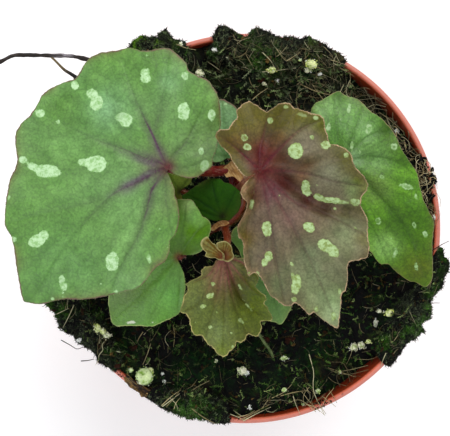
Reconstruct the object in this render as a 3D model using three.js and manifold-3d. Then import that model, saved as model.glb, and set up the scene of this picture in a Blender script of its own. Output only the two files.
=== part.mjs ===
// A young polka dot begonia in a 12 cm terracotta-coloured nursery pot.
// Millimetres, +Z up, origin at the middle of the pot's base. +Y is the top of the picture that the
// plan outlines were read from, and +X is its right.
import * as THREE from "three";
import { mergeVertices } from "three/addons/utils/BufferGeometryUtils.js";
import Module from "manifold-3d";

const wasm = await Module();
wasm.setup();

// Driving dimensions.
const RIM_R = 60;
const POT_H = 92;
const BASE_R = 42;
const BAND_H = 13;
const WALL = 1.5;
const LIP_W = 1.9;
const FLOOR_Z = 1.5;
const DRAIN_HOLES = 8;
const DRAIN_R = 4;
const DRAIN_RING_R = 27;
const FOOT_DISC_R = 15;
const GAP = 0.3;
const BLADE_T = 0.85;
const WALL_TURNS = 48;
const STEM_SIDES = 9;
const PETIOLE_SIDES = 6;

// Plan points are written in the pixels of the top view. On the rim's plane the rim is RIM_PX wide
// and centred on RIM_CENTRE_PX, and the eye is straight above the middle of the view.
const RIM_PX = 391;
const RIM_CENTRE_PX = [245.5, 228.5];
const VIEW_MIDDLE_PX = [225, 218];
const EYE_ABOVE_RIM = 360;
const MM_PER_PX = (2 * RIM_R) / RIM_PX;
const EYE = new THREE.Vector3(
  (VIEW_MIDDLE_PX[0] - RIM_CENTRE_PX[0]) * MM_PER_PX,
  (RIM_CENTRE_PX[1] - VIEW_MIDDLE_PX[1]) * MM_PER_PX,
  POT_H + EYE_ABOVE_RIM,
);

// The point at height z that the eye sees at pixel (u, v).
function fromView(u, v, z) {
  const k = ((EYE.z - z) / EYE_ABOVE_RIM) * MM_PER_PX;
  return new THREE.Vector3(
    EYE.x + (u - VIEW_MIDDLE_PX[0]) * k,
    EYE.y - (v - VIEW_MIDDLE_PX[1]) * k,
    z,
  );
}

// The pixel where the eye sees a point.
function toView(x, y, z) {
  const k = ((EYE.z - z) / EYE_ABOVE_RIM) * MM_PER_PX;
  return [VIEW_MIDDLE_PX[0] + (x - EYE.x) / k, VIEW_MIDDLE_PX[1] - (y - EYE.y) / k];
}

// Small maths.
const lerp = THREE.MathUtils.lerp;
const smoothstep = THREE.MathUtils.smoothstep;
const clamp = THREE.MathUtils.clamp;

// Repeatable draws from 0 to 1.
function draws(seed) {
  let state = seed >>> 0;
  return () => {
    state = (Math.imul(state, 1664525) + 1013904223) >>> 0;
    return state / 4294967296;
  };
}

// Solids and geometries.
function solidOf(geometry) {
  const plain = geometry.clone();
  plain.deleteAttribute("normal");
  plain.deleteAttribute("uv");
  const merged = mergeVertices(plain, 1e-4);
  return new wasm.Manifold(
    new wasm.Mesh({
      numProp: 3,
      vertProperties: merged.attributes.position.array,
      triVerts: new Uint32Array(merged.index.array),
    }),
  );
}

function geometryOf(solid) {
  const mesh = solid.getMesh();
  const flat = new THREE.BufferGeometry();
  flat.setAttribute("position", new THREE.BufferAttribute(mesh.vertProperties.slice(), 3));
  flat.setIndex(new THREE.BufferAttribute(mesh.triVerts.slice(), 1));
  const geometry = flat.toNonIndexed();
  geometry.computeVertexNormals();
  return geometry;
}

// The largest body of a solid, so that no loose scrap is left by a cut.
function largest(solid) {
  return solid.decompose().reduce((a, b) => (a.volume() > b.volume() ? a : b));
}

function indexed(points, faces) {
  const geometry = new THREE.BufferGeometry();
  const flat = new Float32Array(points.flatMap((p) => [p.x, p.y, p.z]));
  geometry.setAttribute("position", new THREE.BufferAttribute(flat, 3));
  geometry.setIndex(faces.flat());
  return geometry;
}

// True if a plan outline runs clockwise on the page, where v points down.
function clockwise(outline) {
  let area = 0;
  outline.forEach(([u, v], i) => {
    const [nextU, nextV] = outline[(i + 1) % outline.length];
    area += u * nextV - nextU * v;
  });
  return area > 0;
}

// A closed sheet under a plan outline: rings of points from its hub to its edge, the same on both faces.
// top and bottom give a height for (u, v, t), where t is 0 at the hub and 1 at the edge.
function sheet(outline, hub, rings, top, bottom) {
  const loop = clockwise(outline) ? [...outline].reverse() : outline;
  const n = loop.length;
  const points = [];
  const faces = [];
  for (const height of [top, bottom]) {
    points.push(fromView(hub[0], hub[1], height(hub[0], hub[1], 0)));
    for (let ring = 1; ring <= rings; ring++) {
      for (const [edgeU, edgeV] of loop) {
        const t = ring / rings;
        const u = lerp(hub[0], edgeU, t);
        const v = lerp(hub[1], edgeV, t);
        points.push(fromView(u, v, height(u, v, t)));
      }
    }
  }
  const under = 1 + rings * n;
  const at = (ring, i) => 1 + (ring - 1) * n + (i % n);
  for (let i = 0; i < n; i++) {
    faces.push([0, at(1, i), at(1, i + 1)]);
    faces.push([under, under + at(1, i + 1), under + at(1, i)]);
    for (let ring = 1; ring < rings; ring++) {
      const [a, b, c, d] = [at(ring, i), at(ring + 1, i), at(ring + 1, i + 1), at(ring, i + 1)];
      faces.push([a, b, c], [a, c, d]);
      faces.push([under + a, under + c, under + b], [under + a, under + d, under + c]);
    }
    const [a, b] = [at(rings, i), at(rings, i + 1)];
    faces.push([a, under + a, under + b], [a, under + b, b]);
  }
  return indexed(points, faces);
}

// A rod along a curve whose radius is radius(t), with flat ends that reach a little past the curve.
function rod(curve, radius, sides, steps, past = 0) {
  const frames = curve.computeFrenetFrames(steps, false);
  const points = [];
  const faces = [];
  for (let step = 0; step <= steps; step++) {
    const t = step / steps;
    const reach = step === 0 ? -past : step === steps ? past : 0;
    const middle = curve.getPointAt(t).addScaledVector(frames.tangents[step], reach);
    for (let side = 0; side < sides; side++) {
      const angle = (2 * Math.PI * side) / sides;
      const out = frames.normals[step]
        .clone()
        .multiplyScalar(Math.cos(angle))
        .addScaledVector(frames.binormals[step], Math.sin(angle));
      points.push(middle.clone().addScaledVector(out, radius(t)));
    }
  }
  const at = (step, side) => step * sides + (side % sides);
  for (let side = 0; side < sides; side++) {
    for (let step = 0; step < steps; step++) {
      const [a, b] = [at(step, side), at(step, side + 1)];
      const [c, d] = [at(step + 1, side + 1), at(step + 1, side)];
      faces.push([a, b, c], [a, c, d]);
    }
  }
  const foot = curve.getPointAt(0).addScaledVector(frames.tangents[0], -past);
  const tip = curve.getPointAt(1).addScaledVector(frames.tangents[steps], past);
  const start = points.push(foot) - 1;
  const end = points.push(tip) - 1;
  for (let side = 0; side < sides; side++) {
    faces.push([start, at(0, side + 1), at(0, side)]);
    faces.push([end, at(steps, side), at(steps, side + 1)]);
  }
  return indexed(points, faces);
}

// A smooth curve through [u, v, z] points.
function curveThrough(places) {
  return new THREE.CatmullRomCurve3(places.map(([u, v, z]) => fromView(u, v, z)));
}

// Materials, by colour.
function material(color, roughness) {
  return new THREE.MeshStandardMaterial({ color, roughness, metalness: 0 });
}

const TERRACOTTA = material(0xc4664a, 0.45);
const PEAT = material(0x1d1a15, 1);
const MOSS = material(0x24351c, 1);
const STEM_RED = material(0x7a3a26, 0.5);
const STIPULE_TAN = material(0xb98a55, 0.7);
const LEAF_GREEN = material(0x6a9e4c, 0.45);
const LEAF_BRIGHT = material(0x4f9a2c, 0.35);
const LEAF_BRONZE = material(0x746350, 0.45);
const LEAF_OLIVE = material(0x77763f, 0.45);
const LEAF_DARK = material(0x27501d, 0.5);
const TWIG_BLACK = material(0x2a2627, 0.8);
const SPROUT_GREEN = material(0x7f9a62, 0.6);

const group = new THREE.Group();

function add(name, geometry, finish) {
  const mesh = new THREE.Mesh(geometry, finish);
  mesh.name = name;
  group.add(mesh);
}

// Pot: thin tapered wall, a wider band below the lip, and a base that stands on a middle disc and an
// outer ring, with the drain holes in the channel between them.
const BAND_Z = POT_H - BAND_H;
const LIP_IN_R = RIM_R - LIP_W;
const BAND_OUT_R = RIM_R - 1.6;
const NECK_R = BAND_OUT_R - 2.2;
const FOOT_W = 4;

// The radius of the pot's inner wall at height z.
function innerRadius(z) {
  if (z > BAND_Z) return lerp(NECK_R - 0.2, LIP_IN_R, (z - BAND_Z) / BAND_H);
  return lerp(BASE_R - WALL, NECK_R - WALL, clamp(z / BAND_Z, 0, 1));
}

function potGeometry() {
  const profile = [
    [0, 0],
    [FOOT_DISC_R, 0],
    [FOOT_DISC_R + 1.5, FLOOR_Z],
    [BASE_R - FOOT_W - 1, FLOOR_Z],
    [BASE_R - FOOT_W, 0],
    [BASE_R - 0.6, 0],
    [BASE_R, 0.7],
    [NECK_R, BAND_Z - 1],
    [BAND_OUT_R, BAND_Z],
    [RIM_R - 0.2, POT_H - 2],
    [RIM_R, POT_H - 0.8],
    [RIM_R - 0.5, POT_H],
    [LIP_IN_R + 0.3, POT_H],
    [LIP_IN_R, POT_H - 0.6],
    [innerRadius(BAND_Z + 0.01), BAND_Z + 0.5],
    [innerRadius(BAND_Z), BAND_Z - 0.5],
    [innerRadius(FLOOR_Z + WALL), FLOOR_Z + WALL],
    [0, FLOOR_Z + WALL],
  ].map(([r, z]) => new THREE.Vector2(r, z));
  const turned = new THREE.LatheGeometry(profile, WALL_TURNS).rotateX(Math.PI / 2);
  let pot = solidOf(turned);
  for (let hole = 0; hole < DRAIN_HOLES; hole++) {
    const angle = (2 * Math.PI * hole) / DRAIN_HOLES;
    const drill = new THREE.CylinderGeometry(DRAIN_R, DRAIN_R, 12, 10).rotateX(Math.PI / 2);
    drill.translate(DRAIN_RING_R * Math.cos(angle), DRAIN_RING_R * Math.sin(angle), FLOOR_Z);
    pot = pot.subtract(solidOf(drill));
  }
  return geometryOf(pot);
}

// Potting mix. Where the mix meets the wall it stands high in some sectors and has sunk in others.
// Each pair is a bearing in degrees, anticlockwise from +X, and the height there below the rim's top.
const MIX_BELOW_RIM = [
  [-180, 1],
  [-160, 0.5],
  [-132, 1],
  [-118, 2],
  [-105, 1],
  [-95, 2],
  [-84, 2.5],
  [-70, 4],
  [-62, 6.5],
  [-52, 8],
  [-46, 7],
  [-40, 1],
  [-8, 0.5],
  [0, 0.8],
  [16, 1],
  [27, 3],
  [38, 7],
  [50, 6.5],
  [60, 1.5],
  [70, 0.8],
  [98, 0.8],
  [103, 3],
  [110, 0.8],
  [130, 0.6],
  [150, 2],
  [180, 1],
];
const MIX_MIDDLE_Z = POT_H - 7;
const MIX_LUMP = 0.9;

function mixBelowRim(bearing) {
  const next = MIX_BELOW_RIM.findIndex(([angle]) => angle >= bearing);
  if (next < 1) return MIX_BELOW_RIM[0][1];
  const [a, b] = [MIX_BELOW_RIM[next - 1], MIX_BELOW_RIM[next]];
  return lerp(a[1], b[1], smoothstep(bearing, a[0], b[0]));
}

// Height of the potting mix at a point, with slow lumps that fade out at the wall.
function mixHeight(x, y) {
  const reach = clamp(Math.hypot(x, y) / innerRadius(POT_H - 4), 0, 1);
  const bearing = THREE.MathUtils.radToDeg(Math.atan2(y, x));
  const wall = POT_H - mixBelowRim(bearing);
  const lumps =
    Math.sin(x * 0.31 + 1.3 * Math.sin(y * 0.17)) * Math.cos(y * 0.27 - 0.6) +
    0.6 * Math.sin(x * 0.73 - y * 0.54 + 2) * Math.cos(x * 0.2 + y * 0.61);
  const fade = 1 - smoothstep(reach, 0.8, 1);
  return lerp(MIX_MIDDLE_Z, wall, smoothstep(reach, 0.35, 0.98)) + MIX_LUMP * lumps * fade;
}

// The potting mix as a turned solid: a lumpy top, then down the wall to the floor. grow widens it.
function mixSolid(grow) {
  const turns = WALL_TURNS;
  const reaches = [0.22, 0.42, 0.6, 0.76, 0.9, 1];
  const depths = [0, 1];
  const bottomZ = FLOOR_Z + WALL + GAP - grow;
  const points = [new THREE.Vector3(0, 0, mixHeight(0, 0) + grow)];
  const faces = [];
  const rows = reaches.length + depths.length;
  for (let row = 0; row < rows; row++) {
    for (let turn = 0; turn < turns; turn++) {
      const angle = (2 * Math.PI * turn) / turns;
      const [c, s] = [Math.cos(angle), Math.sin(angle)];
      const full = innerRadius(POT_H - 14) - GAP + grow;
      const edgeZ = mixHeight(full * c, full * s) + grow;
      if (row < reaches.length) {
        const r = reaches[row] * (row === reaches.length - 1 ? innerRadius(edgeZ) - GAP + grow : full);
        const z = row === reaches.length - 1 ? edgeZ : mixHeight(r * c, r * s) + grow;
        points.push(new THREE.Vector3(r * c, r * s, z));
      } else {
        const z = lerp(BAND_Z - 0.4, bottomZ, (row - reaches.length) / (depths.length - 1));
        const r = innerRadius(z) - 0.2 - GAP + grow;
        points.push(new THREE.Vector3(r * c, r * s, z));
      }
    }
  }
  const foot = points.push(new THREE.Vector3(0, 0, bottomZ)) - 1;
  const at = (row, turn) => 1 + row * turns + (turn % turns);
  for (let turn = 0; turn < turns; turn++) {
    faces.push([0, at(0, turn), at(0, turn + 1)]);
    for (let row = 0; row + 1 < rows; row++) {
      const [a, b] = [at(row, turn), at(row + 1, turn)];
      const [c, d] = [at(row + 1, turn + 1), at(row, turn + 1)];
      faces.push([a, b, c], [a, c, d]);
    }
    faces.push([foot, at(rows - 1, turn + 1), at(rows - 1, turn)]);
  }
  return solidOf(indexed(points, faces));
}

// Perlite grains: [u, v, width in mm] where the top view shows them.
const GRAINS = [
  [146, 376, 3.8],
  [99, 329, 2.6],
  [105, 334, 2.6],
  [358, 347, 3],
  [364, 345, 3],
  [389, 314, 3],
  [242, 371, 2.6],
  [312, 62, 3],
  [271, 69, 2.6],
  [277, 80, 2.2],
  [319, 73, 1.8],
  [318, 391, 1.8],
  [130, 371, 1.4],
  [165, 382, 1.3],
  [251, 406, 1.4],
  [375, 322, 1.8],
  [300, 396, 1.6],
];

function grainSolid([u, v, width], draw, grow) {
  const grain = new THREE.IcosahedronGeometry(width / 2 + 1.3 * grow, 0);
  grain.scale(1 + 0.3 * draw(), 0.8 + 0.3 * draw(), 0.75);
  grain.rotateZ(draw() * Math.PI);
  const place = fromView(u, v, MIX_MIDDLE_Z);
  grain.translate(place.x, place.y, mixHeight(place.x, place.y) + 0.12 * width);
  return solidOf(grain);
}

// Dry rootlets: [u, v] of one end, [u, v] of the other. Both ends are sunk in the mix.
const ROOTLETS = [
  [63, 326, 75, 308],
  [139, 388, 147, 361],
  [161, 404, 181, 389],
  [201, 408, 186, 398],
  [309, 355, 314, 392],
  [322, 405, 331, 379],
  [281, 395, 305, 388],
  [262, 411, 271, 400],
  [256, 412, 273, 399],
  [330, 103, 337, 97],
  [338, 96, 344, 84],
  [252, 104, 268, 86],
  [213, 330, 214, 318],
];
const ROOTLET_R = 0.45;

function rootletSolid([u0, v0, u1, v1], draw, grow) {
  const ends = [fromView(u0, v0, MIX_MIDDLE_Z), fromView(u1, v1, MIX_MIDDLE_Z)];
  const lift = 0.8 + 0.8 * draw();
  const places = [0, 0.35, 0.65, 1].map((t) => {
    const place = new THREE.Vector3().lerpVectors(ends[0], ends[1], t);
    const rise = Math.sin(Math.PI * t) * lift - 0.9 * (1 - Math.sin(Math.PI * t));
    return place.setZ(mixHeight(place.x, place.y) + rise);
  });
  const curve = new THREE.CatmullRomCurve3(places);
  return solidOf(rod(curve, () => ROOTLET_R + 2 * grow, 3, 4, grow));
}

// The mix with its grains and rootlets, which end at whatever is given as wall.
function fullMixSolid(grow, wall) {
  const draw = draws(7);
  const pieces = [
    ...GRAINS.map((grain) => grainSolid(grain, draw, grow)),
    ...ROOTLETS.map((rootlet) => rootletSolid(rootlet, draw, grow)),
  ];
  const kept = wall ? pieces.map((piece) => largest(piece.subtract(wall))) : pieces;
  return kept.reduce((mix, piece) => mix.add(piece), mixSolid(grow));
}

// Stem: a short leaning stem, buried at its foot. Petioles leave it at a share of its length.
const STEM = curveThrough([
  [227, 224, 58],
  [228, 221, 76],
  [231, 212, 86],
  [237, 199, 95],
  [243, 185, 102],
]);
const STEM_R = 4.2;

// Radius along the stem: a slight swelling at each node and a blunt tip.
function stemRadius(t, grow) {
  const body = STEM_R * (1 - 0.25 * t) * (1 + 0.06 * Math.cos(t * 40));
  return body * Math.sqrt(clamp(1.04 - Math.max(0, t - 0.86) * 7, 0.1, 1)) + grow;
}

function stemSolid(grow) {
  return solidOf(rod(STEM, (t) => stemRadius(t, grow), STEM_SIDES, 13, grow));
}

// Leaves. Each has the [u, v] where its petiole joins, a height there, a slope in mm per mm along +X
// and +Y, a droop in mm at 30 mm out, folds as [bearing, depth, half width in degrees], a margin wave
// as [mm, waves, phase], and curls of the margin as [bearing, rise, half width in degrees]. hub is a
// point from which the whole margin can be seen.
const LEAF_MM_PER_PX = 0.275;

const LEAVES = {
  big_green: {
    finish: LEAF_GREEN,
    joint: [168, 168],
    hub: [156.5, 153.5],
    rings: 3,
    z: 134,
    slope: [0.07, 0.02],
    droop: 1.6,
    folds: [
      [153, 0.9, 16],
      [200, 0.9, 14],
      [108, 0.8, 14],
      [45, 0.6, 14],
      [253, 0.7, 12],
    ],
    wave: [1, 7, 0.6],
    curls: [],
    outline: [
      [168.5, 169.5], [173, 173], [180, 176], [190, 178], [198, 176], [206, 171], [211.5, 166],
      [212.5, 159], [216, 149], [219, 138], [220.5, 122], [219.5, 104], [216, 92], [207, 80],
      [197, 75.5], [189, 71], [186, 64], [178, 55], [169, 49], [161, 48.5], [148, 51], [139, 50.5],
      [130, 48], [115, 51], [100, 53], [90, 58], [82.5, 68], [76.5, 78], [66, 82], [53, 87.5],
      [43.5, 94], [37.5, 105], [30.5, 115], [22, 123], [16.5, 132], [15.8, 143], [17.5, 158],
      [16, 167], [10.5, 179], [7, 196], [5, 215], [5.5, 226], [11.5, 236.5], [14, 247], [17, 268],
      [20, 286], [24, 300.5], [32, 303], [41, 304], [52, 301.5], [63, 299], [79, 299.5], [95, 298],
      [110, 295], [125, 291], [136, 288.5], [145, 281], [152.5, 271], [157, 266.5], [165, 261],
      [169.5, 250], [170, 240], [175, 234.5], [178.5, 224], [179, 212], [177, 201], [174.8, 195],
      [174.5, 189], [172, 183], [169.5, 177], [167, 171.5],
    ],
  },
  bronze: {
    finish: LEAF_BRONZE,
    joint: [260, 171],
    hub: [272, 163],
    rings: 3,
    z: 143,
    slope: [-0.02, 0.03],
    droop: 2.4,
    folds: [
      [-22, 2.2, 15],
      [-55, 1, 12],
      [-85, 0.8, 12],
      [35, 1, 16],
      [95, 1.1, 14],
      [150, 0.8, 14],
    ],
    wave: [1.2, 9, 1.2],
    curls: [[-122, 3.2, 17]],
    outline: [
      [258, 171.5], [253, 174.5], [247, 176.5], [241, 173], [237, 167], [233, 161], [230, 155.5],
      [226, 150.5], [221, 146], [217.5, 141.5], [216.5, 135.5], [218, 130.5], [223.5, 129.5],
      [229.5, 129], [232, 123], [237.5, 117.5], [236.5, 111], [241, 106], [248.5, 101.5],
      [255.5, 104.5], [262, 109.5], [267, 111.5], [275, 107], [283, 102.5], [289, 103],
      [293.5, 107.5], [300, 110], [308, 112], [315, 114.5], [322, 117], [324.5, 122.5],
      [325.5, 131.5], [328.5, 139], [330.5, 144], [337, 145], [345, 148.5], [350.5, 154.5],
      [352.5, 161], [356, 168], [362, 174], [366, 179.5], [368.5, 185.5], [364.5, 193],
      [361, 199.5], [360.5, 205], [364.5, 213.5], [368, 222], [367.5, 232], [368.5, 243],
      [369, 250.5], [367, 256.5], [360.5, 259.5], [353.5, 261], [348.5, 262.5], [347.5, 267],
      [347.5, 276], [346.5, 285.5], [345, 290.5], [341.5, 294], [341, 303], [340, 313], [339, 321],
      [337.5, 327.5], [335, 327.5], [330, 324], [323, 319.5], [317, 314.5], [313.5, 312],
      [308.5, 314], [304, 310], [299.5, 305.5], [295.5, 303], [290, 306], [283.5, 305.5],
      [277.5, 300.5], [270, 294], [266, 288], [263, 281], [260, 275.5], [254, 273], [248.5, 275],
      [246.5, 270], [244.5, 262], [243.5, 252], [243, 241.5], [240, 239], [237.5, 231.5],
      [238, 225.5], [241, 219.5], [244, 214], [246.5, 207.5], [247, 201], [243, 197.5], [241, 192],
      [242.5, 186.5], [247, 181], [252, 177], [256, 173.5],
    ],
  },
  right_green: {
    finish: LEAF_BRIGHT,
    joint: [341, 161],
    hub: [354, 160],
    rings: 3,
    z: 114,
    slope: [-0.16, -0.02],
    droop: 3.2,
    folds: [
      [92, 1.2, 16],
      [0, 1.2, 14],
      [-48, 1.6, 12],
      [-66, 1.2, 9],
    ],
    wave: [0.8, 8, 0.2],
    curls: [],
    outline: [
      [338, 162], [327, 158], [317, 147], [311, 131], [310, 118], [312, 108], [316, 103],
      [322, 100.5], [326, 97.5], [338.5, 91.5], [346, 96], [357, 99], [362, 103], [372, 112.5],
      [384, 121], [394, 133.5], [399.5, 146], [408, 159.5], [416.5, 172.5], [419.5, 184],
      [422, 196], [428, 210], [433.5, 221], [433, 234], [432, 245], [432.5, 258], [432.5, 271],
      [432, 279], [429, 284.5], [426, 286.5], [421.5, 285.5], [416, 282], [410, 281],
      [402.5, 276.5], [395.5, 271], [391, 266.5], [388, 263.5], [381, 264], [376.5, 260],
      [372.5, 254], [366, 248], [354, 243], [340, 232], [329, 215], [322, 198], [320, 182],
      [328, 171],
    ],
  },
  young_olive: {
    finish: LEAF_OLIVE,
    joint: [223.5, 257],
    hub: [226, 290],
    rings: 3,
    z: 120,
    slope: [0, 0.05],
    droop: 2.6,
    folds: [
      [-95, 0.9, 14],
      [-62, 2.2, 13],
      [-130, 0.8, 14],
    ],
    wave: [0.9, 8, 0.4],
    curls: [],
    outline: [
      [222.5, 257.5], [218.5, 259.5], [215.5, 261.5], [214.5, 264.5], [209.5, 266], [205, 267],
      [202, 270.5], [202, 275], [197, 278.5], [191, 280.5], [186.5, 284.5], [188.5, 287.5],
      [187.5, 291], [184, 296.5], [182.5, 302.5], [181, 308], [182, 312.5], [186.5, 314],
      [188.5, 317], [190, 322.5], [192.5, 331.5], [196.5, 335.5], [200.5, 335.5], [203.5, 337.5],
      [208, 344], [211.5, 346], [215, 350], [218.5, 354.5], [223, 356.5], [227.5, 354],
      [231, 350], [235.5, 345.5], [236.5, 341.5], [241.5, 342], [244.5, 340], [248, 334],
      [252.5, 335.5], [258, 336], [260.5, 332], [261.5, 327], [260.5, 321.5], [266, 321],
      [270.5, 320.5], [271.5, 318], [270.5, 313.5], [267, 307], [264, 303], [266.5, 300],
      [265, 295.5], [261.5, 292.5], [257, 289.5], [255, 286.5], [258, 279.5], [256, 271],
      [250, 264], [243.5, 259], [239, 258], [234, 257], [229, 257.5], [225, 258],
    ],
  },
  lower_green: {
    finish: LEAF_BRIGHT,
    joint: [178.5, 257],
    hub: [160, 252],
    rings: 3,
    z: 114,
    slope: [0.02, 0.03],
    droop: 2.2,
    folds: [
      [215, 0.9, 16],
      [170, 0.8, 16],
      [262, 0.8, 16],
      [55, 1.2, 16],
    ],
    wave: [0.6, 6, 0.9],
    curls: [[25, 2.5, 22]],
    outline: [
      [177.5, 259], [181, 266.5], [183.5, 273], [185, 281.5], [185, 290], [183.5, 299],
      [181.5, 307], [179.5, 312], [176, 315.5], [169, 319], [160.5, 323], [154, 325.5],
      [146.5, 326], [138, 325.5], [126.5, 325.5], [119, 326], [113.5, 324], [111, 319.5],
      [110, 313], [108.5, 305], [108.5, 296], [110, 284], [114, 270], [119, 255], [127, 238],
      [138, 224], [150, 212], [162, 204], [172, 200.5], [183, 199.5], [190.5, 199.5],
      [194, 203], [198, 209.5], [203, 217], [208.5, 220], [210.5, 224], [210.5, 231],
      [208, 238], [205, 245], [202, 250.5], [196, 254], [189.5, 255], [183, 255], [178.5, 255.6],
    ],
  },
  middle_dark: {
    finish: LEAF_DARK,
    joint: [222.5, 216],
    hub: [213, 200],
    rings: 3,
    z: 107.5,
    slope: [0, 0.02],
    droop: 2,
    folds: [[135, 0.6, 16]],
    wave: [0.3, 5, 0],
    curls: [],
    outline: [
      [182.5, 197], [187.5, 192], [195.5, 186.5], [203, 181.5], [208, 179.5], [215, 179],
      [220.5, 179.5], [225.5, 183], [231.5, 185], [235.5, 187.5], [239.5, 191.5], [240.5, 198],
      [240.5, 205.5], [238, 211.5], [234.5, 215], [231, 218.5], [227.5, 220.5], [221, 220],
      [213, 220], [206, 218], [199, 214], [192, 209], [186, 203],
    ],
  },
  upper_green: {
    finish: LEAF_GREEN,
    joint: [227, 156],
    hub: [222, 134],
    rings: 3,
    z: 109,
    slope: [0, 0.02],
    droop: 2.4,
    folds: [[100, 0.6, 16]],
    wave: [0.4, 5, 0.7],
    curls: [],
    outline: [
      [226, 158.5], [222, 161], [213, 162.5], [206, 158], [201, 148], [199, 135], [201, 120],
      [206, 109], [212, 103], [219, 100], [224, 99.5], [229, 102.5], [235, 107], [241, 115],
      [245, 126], [245, 139], [241, 150], [236, 156], [230, 158],
    ],
  },
  under_bronze: {
    finish: LEAF_BRIGHT,
    joint: [252, 236],
    hub: [268, 275],
    rings: 3,
    z: 105.5,
    slope: [-0.03, 0.02],
    droop: 2.2,
    folds: [[-75, 0.8, 16]],
    wave: [0.5, 6, 0.3],
    curls: [],
    outline: [
      [250, 234], [243, 227], [236, 227], [231.5, 233], [231, 239], [235, 245], [239, 250],
      [242, 259], [245, 271], [247.5, 285], [252, 300], [260, 313], [268, 320], [275, 322],
      [281, 324], [286, 318], [291, 307], [296, 292], [300, 275], [298, 258], [290, 243],
      [278, 232], [262, 228],
    ],
  },
  under_big: {
    finish: LEAF_DARK,
    joint: [180, 191],
    hub: [162, 190],
    rings: 3,
    z: 101,
    slope: [-0.02, 0],
    droop: 2,
    folds: [[170, 0.6, 18]],
    wave: [0.4, 5, 0.2],
    curls: [],
    outline: [
      [180, 192], [182.5, 199], [178, 205], [168, 210], [155, 212], [143, 206], [136, 195],
      [137, 182], [145, 172], [158, 167], [172, 168], [184, 171], [192, 178], [189.5, 184],
      [184.5, 187.5],
    ],
  },
};

// From 1 on a bearing in degrees down to 0 well beyond its half width.
function nearness(bearing, at, width) {
  const away = THREE.MathUtils.degToRad(at) - bearing;
  const turned = Math.atan2(Math.sin(away), Math.cos(away));
  return Math.exp(-((turned / THREE.MathUtils.degToRad(width)) ** 2));
}

// Height of a blade's upper face at a plan point. t is the share of the way out to the margin.
function bladeHeight(leaf, u, v, t) {
  const x = (u - leaf.joint[0]) * LEAF_MM_PER_PX;
  const y = (leaf.joint[1] - v) * LEAF_MM_PER_PX;
  const out = Math.hypot(x, y);
  const bearing = Math.atan2(y, x);
  let z = leaf.z + leaf.slope[0] * x + leaf.slope[1] * y - leaf.droop * (out / 30) ** 2;
  for (const [at, depth, width] of leaf.folds) {
    z -= depth * nearness(bearing, at, width) * Math.min(1, out / 12);
  }
  for (const [at, rise, width] of leaf.curls) {
    z += rise * nearness(bearing, at, width) * smoothstep(t, 0.5, 1) * Math.min(1, out / 6);
  }
  const [size, waves, phase] = leaf.wave;
  return z + size * t ** 3 * smoothstep(out, 3, 18) * Math.sin(waves * bearing + phase);
}

// The young leaf's two basal lobes stand up and roll over beside its petiole.
const YOUNG_LOBES = [
  {
    hub: [214, 251],
    rise: [0.22, 0.5],
    outline: [
      [224, 260], [224, 254], [218, 249], [215, 244], [212.5, 243], [209.5, 239.5], [207, 236.5],
      [202, 239.5], [200.5, 244], [202.5, 249], [206, 252.5], [205, 256], [210, 258], [215, 258],
      [219, 260],
    ],
  },
  {
    hub: [226, 250],
    rise: [0.3, 0.6],
    outline: [
      [228, 262], [233, 259], [234, 256], [232.5, 252], [232, 247.5], [229, 243], [225, 241],
      [220, 241.5], [216.5, 243.5], [218, 249], [222, 253], [223, 260],
    ],
  },
];

// A lobe between two offsets from its upper face.
function lobeSolid(leaf, lobe, from, to) {
  const face = (u, v, t) => {
    const away = Math.hypot(u - leaf.joint[0], v - leaf.joint[1]) * LEAF_MM_PER_PX;
    const roll = lobe.rise[1] * away - 0.045 * away * away;
    return leaf.z - 0.1 + Math.max(0, roll) + lobe.rise[0] * t * t;
  };
  const top = (u, v, t) => face(u, v, t) + to;
  const bottom = (u, v, t) => face(u, v, t) + from;
  return solidOf(sheet(lobe.outline, lobe.hub, 2, top, bottom));
}

function bladeSolid(name, leaf) {
  const top = (u, v, t) => bladeHeight(leaf, u, v, t);
  const bottom = (u, v, t) => top(u, v, t) - BLADE_T;
  let blade = solidOf(sheet(leaf.outline, leaf.hub, leaf.rings, top, bottom));
  if (name === "young_olive") {
    for (const lobe of YOUNG_LOBES) blade = blade.add(lobeSolid(leaf, lobe, -BLADE_T, 0));
  }
  return blade;
}

// What cuts a petiole off just below its own blade: the space from there upwards, and the same
// around the joint, where the petiole is wider than the blade.
const JOINT_REACH_PX = 11;

function aboveUnderside(name, leaf) {
  const low = (u, v, t) => bladeHeight(leaf, u, v, t) - BLADE_T - GAP;
  const high = (u, v, t) => low(u, v, t) + 25;
  const ring = [];
  for (let turn = 0; turn < 10; turn++) {
    const angle = (2 * Math.PI * turn) / 10;
    const [u, v] = [Math.cos(angle) * JOINT_REACH_PX, Math.sin(angle) * JOINT_REACH_PX];
    ring.push([leaf.joint[0] + u, leaf.joint[1] - v]);
  }
  let space = solidOf(sheet(leaf.outline, leaf.hub, leaf.rings, high, low));
  space = space.add(solidOf(sheet(ring, leaf.joint, 2, (u, v) => high(u, v, 0), (u, v) => low(u, v, 0))));
  if (name === "young_olive") {
    for (const lobe of YOUNG_LOBES) space = space.add(lobeSolid(leaf, lobe, -BLADE_T - GAP, 25));
  }
  return space;
}

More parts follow.
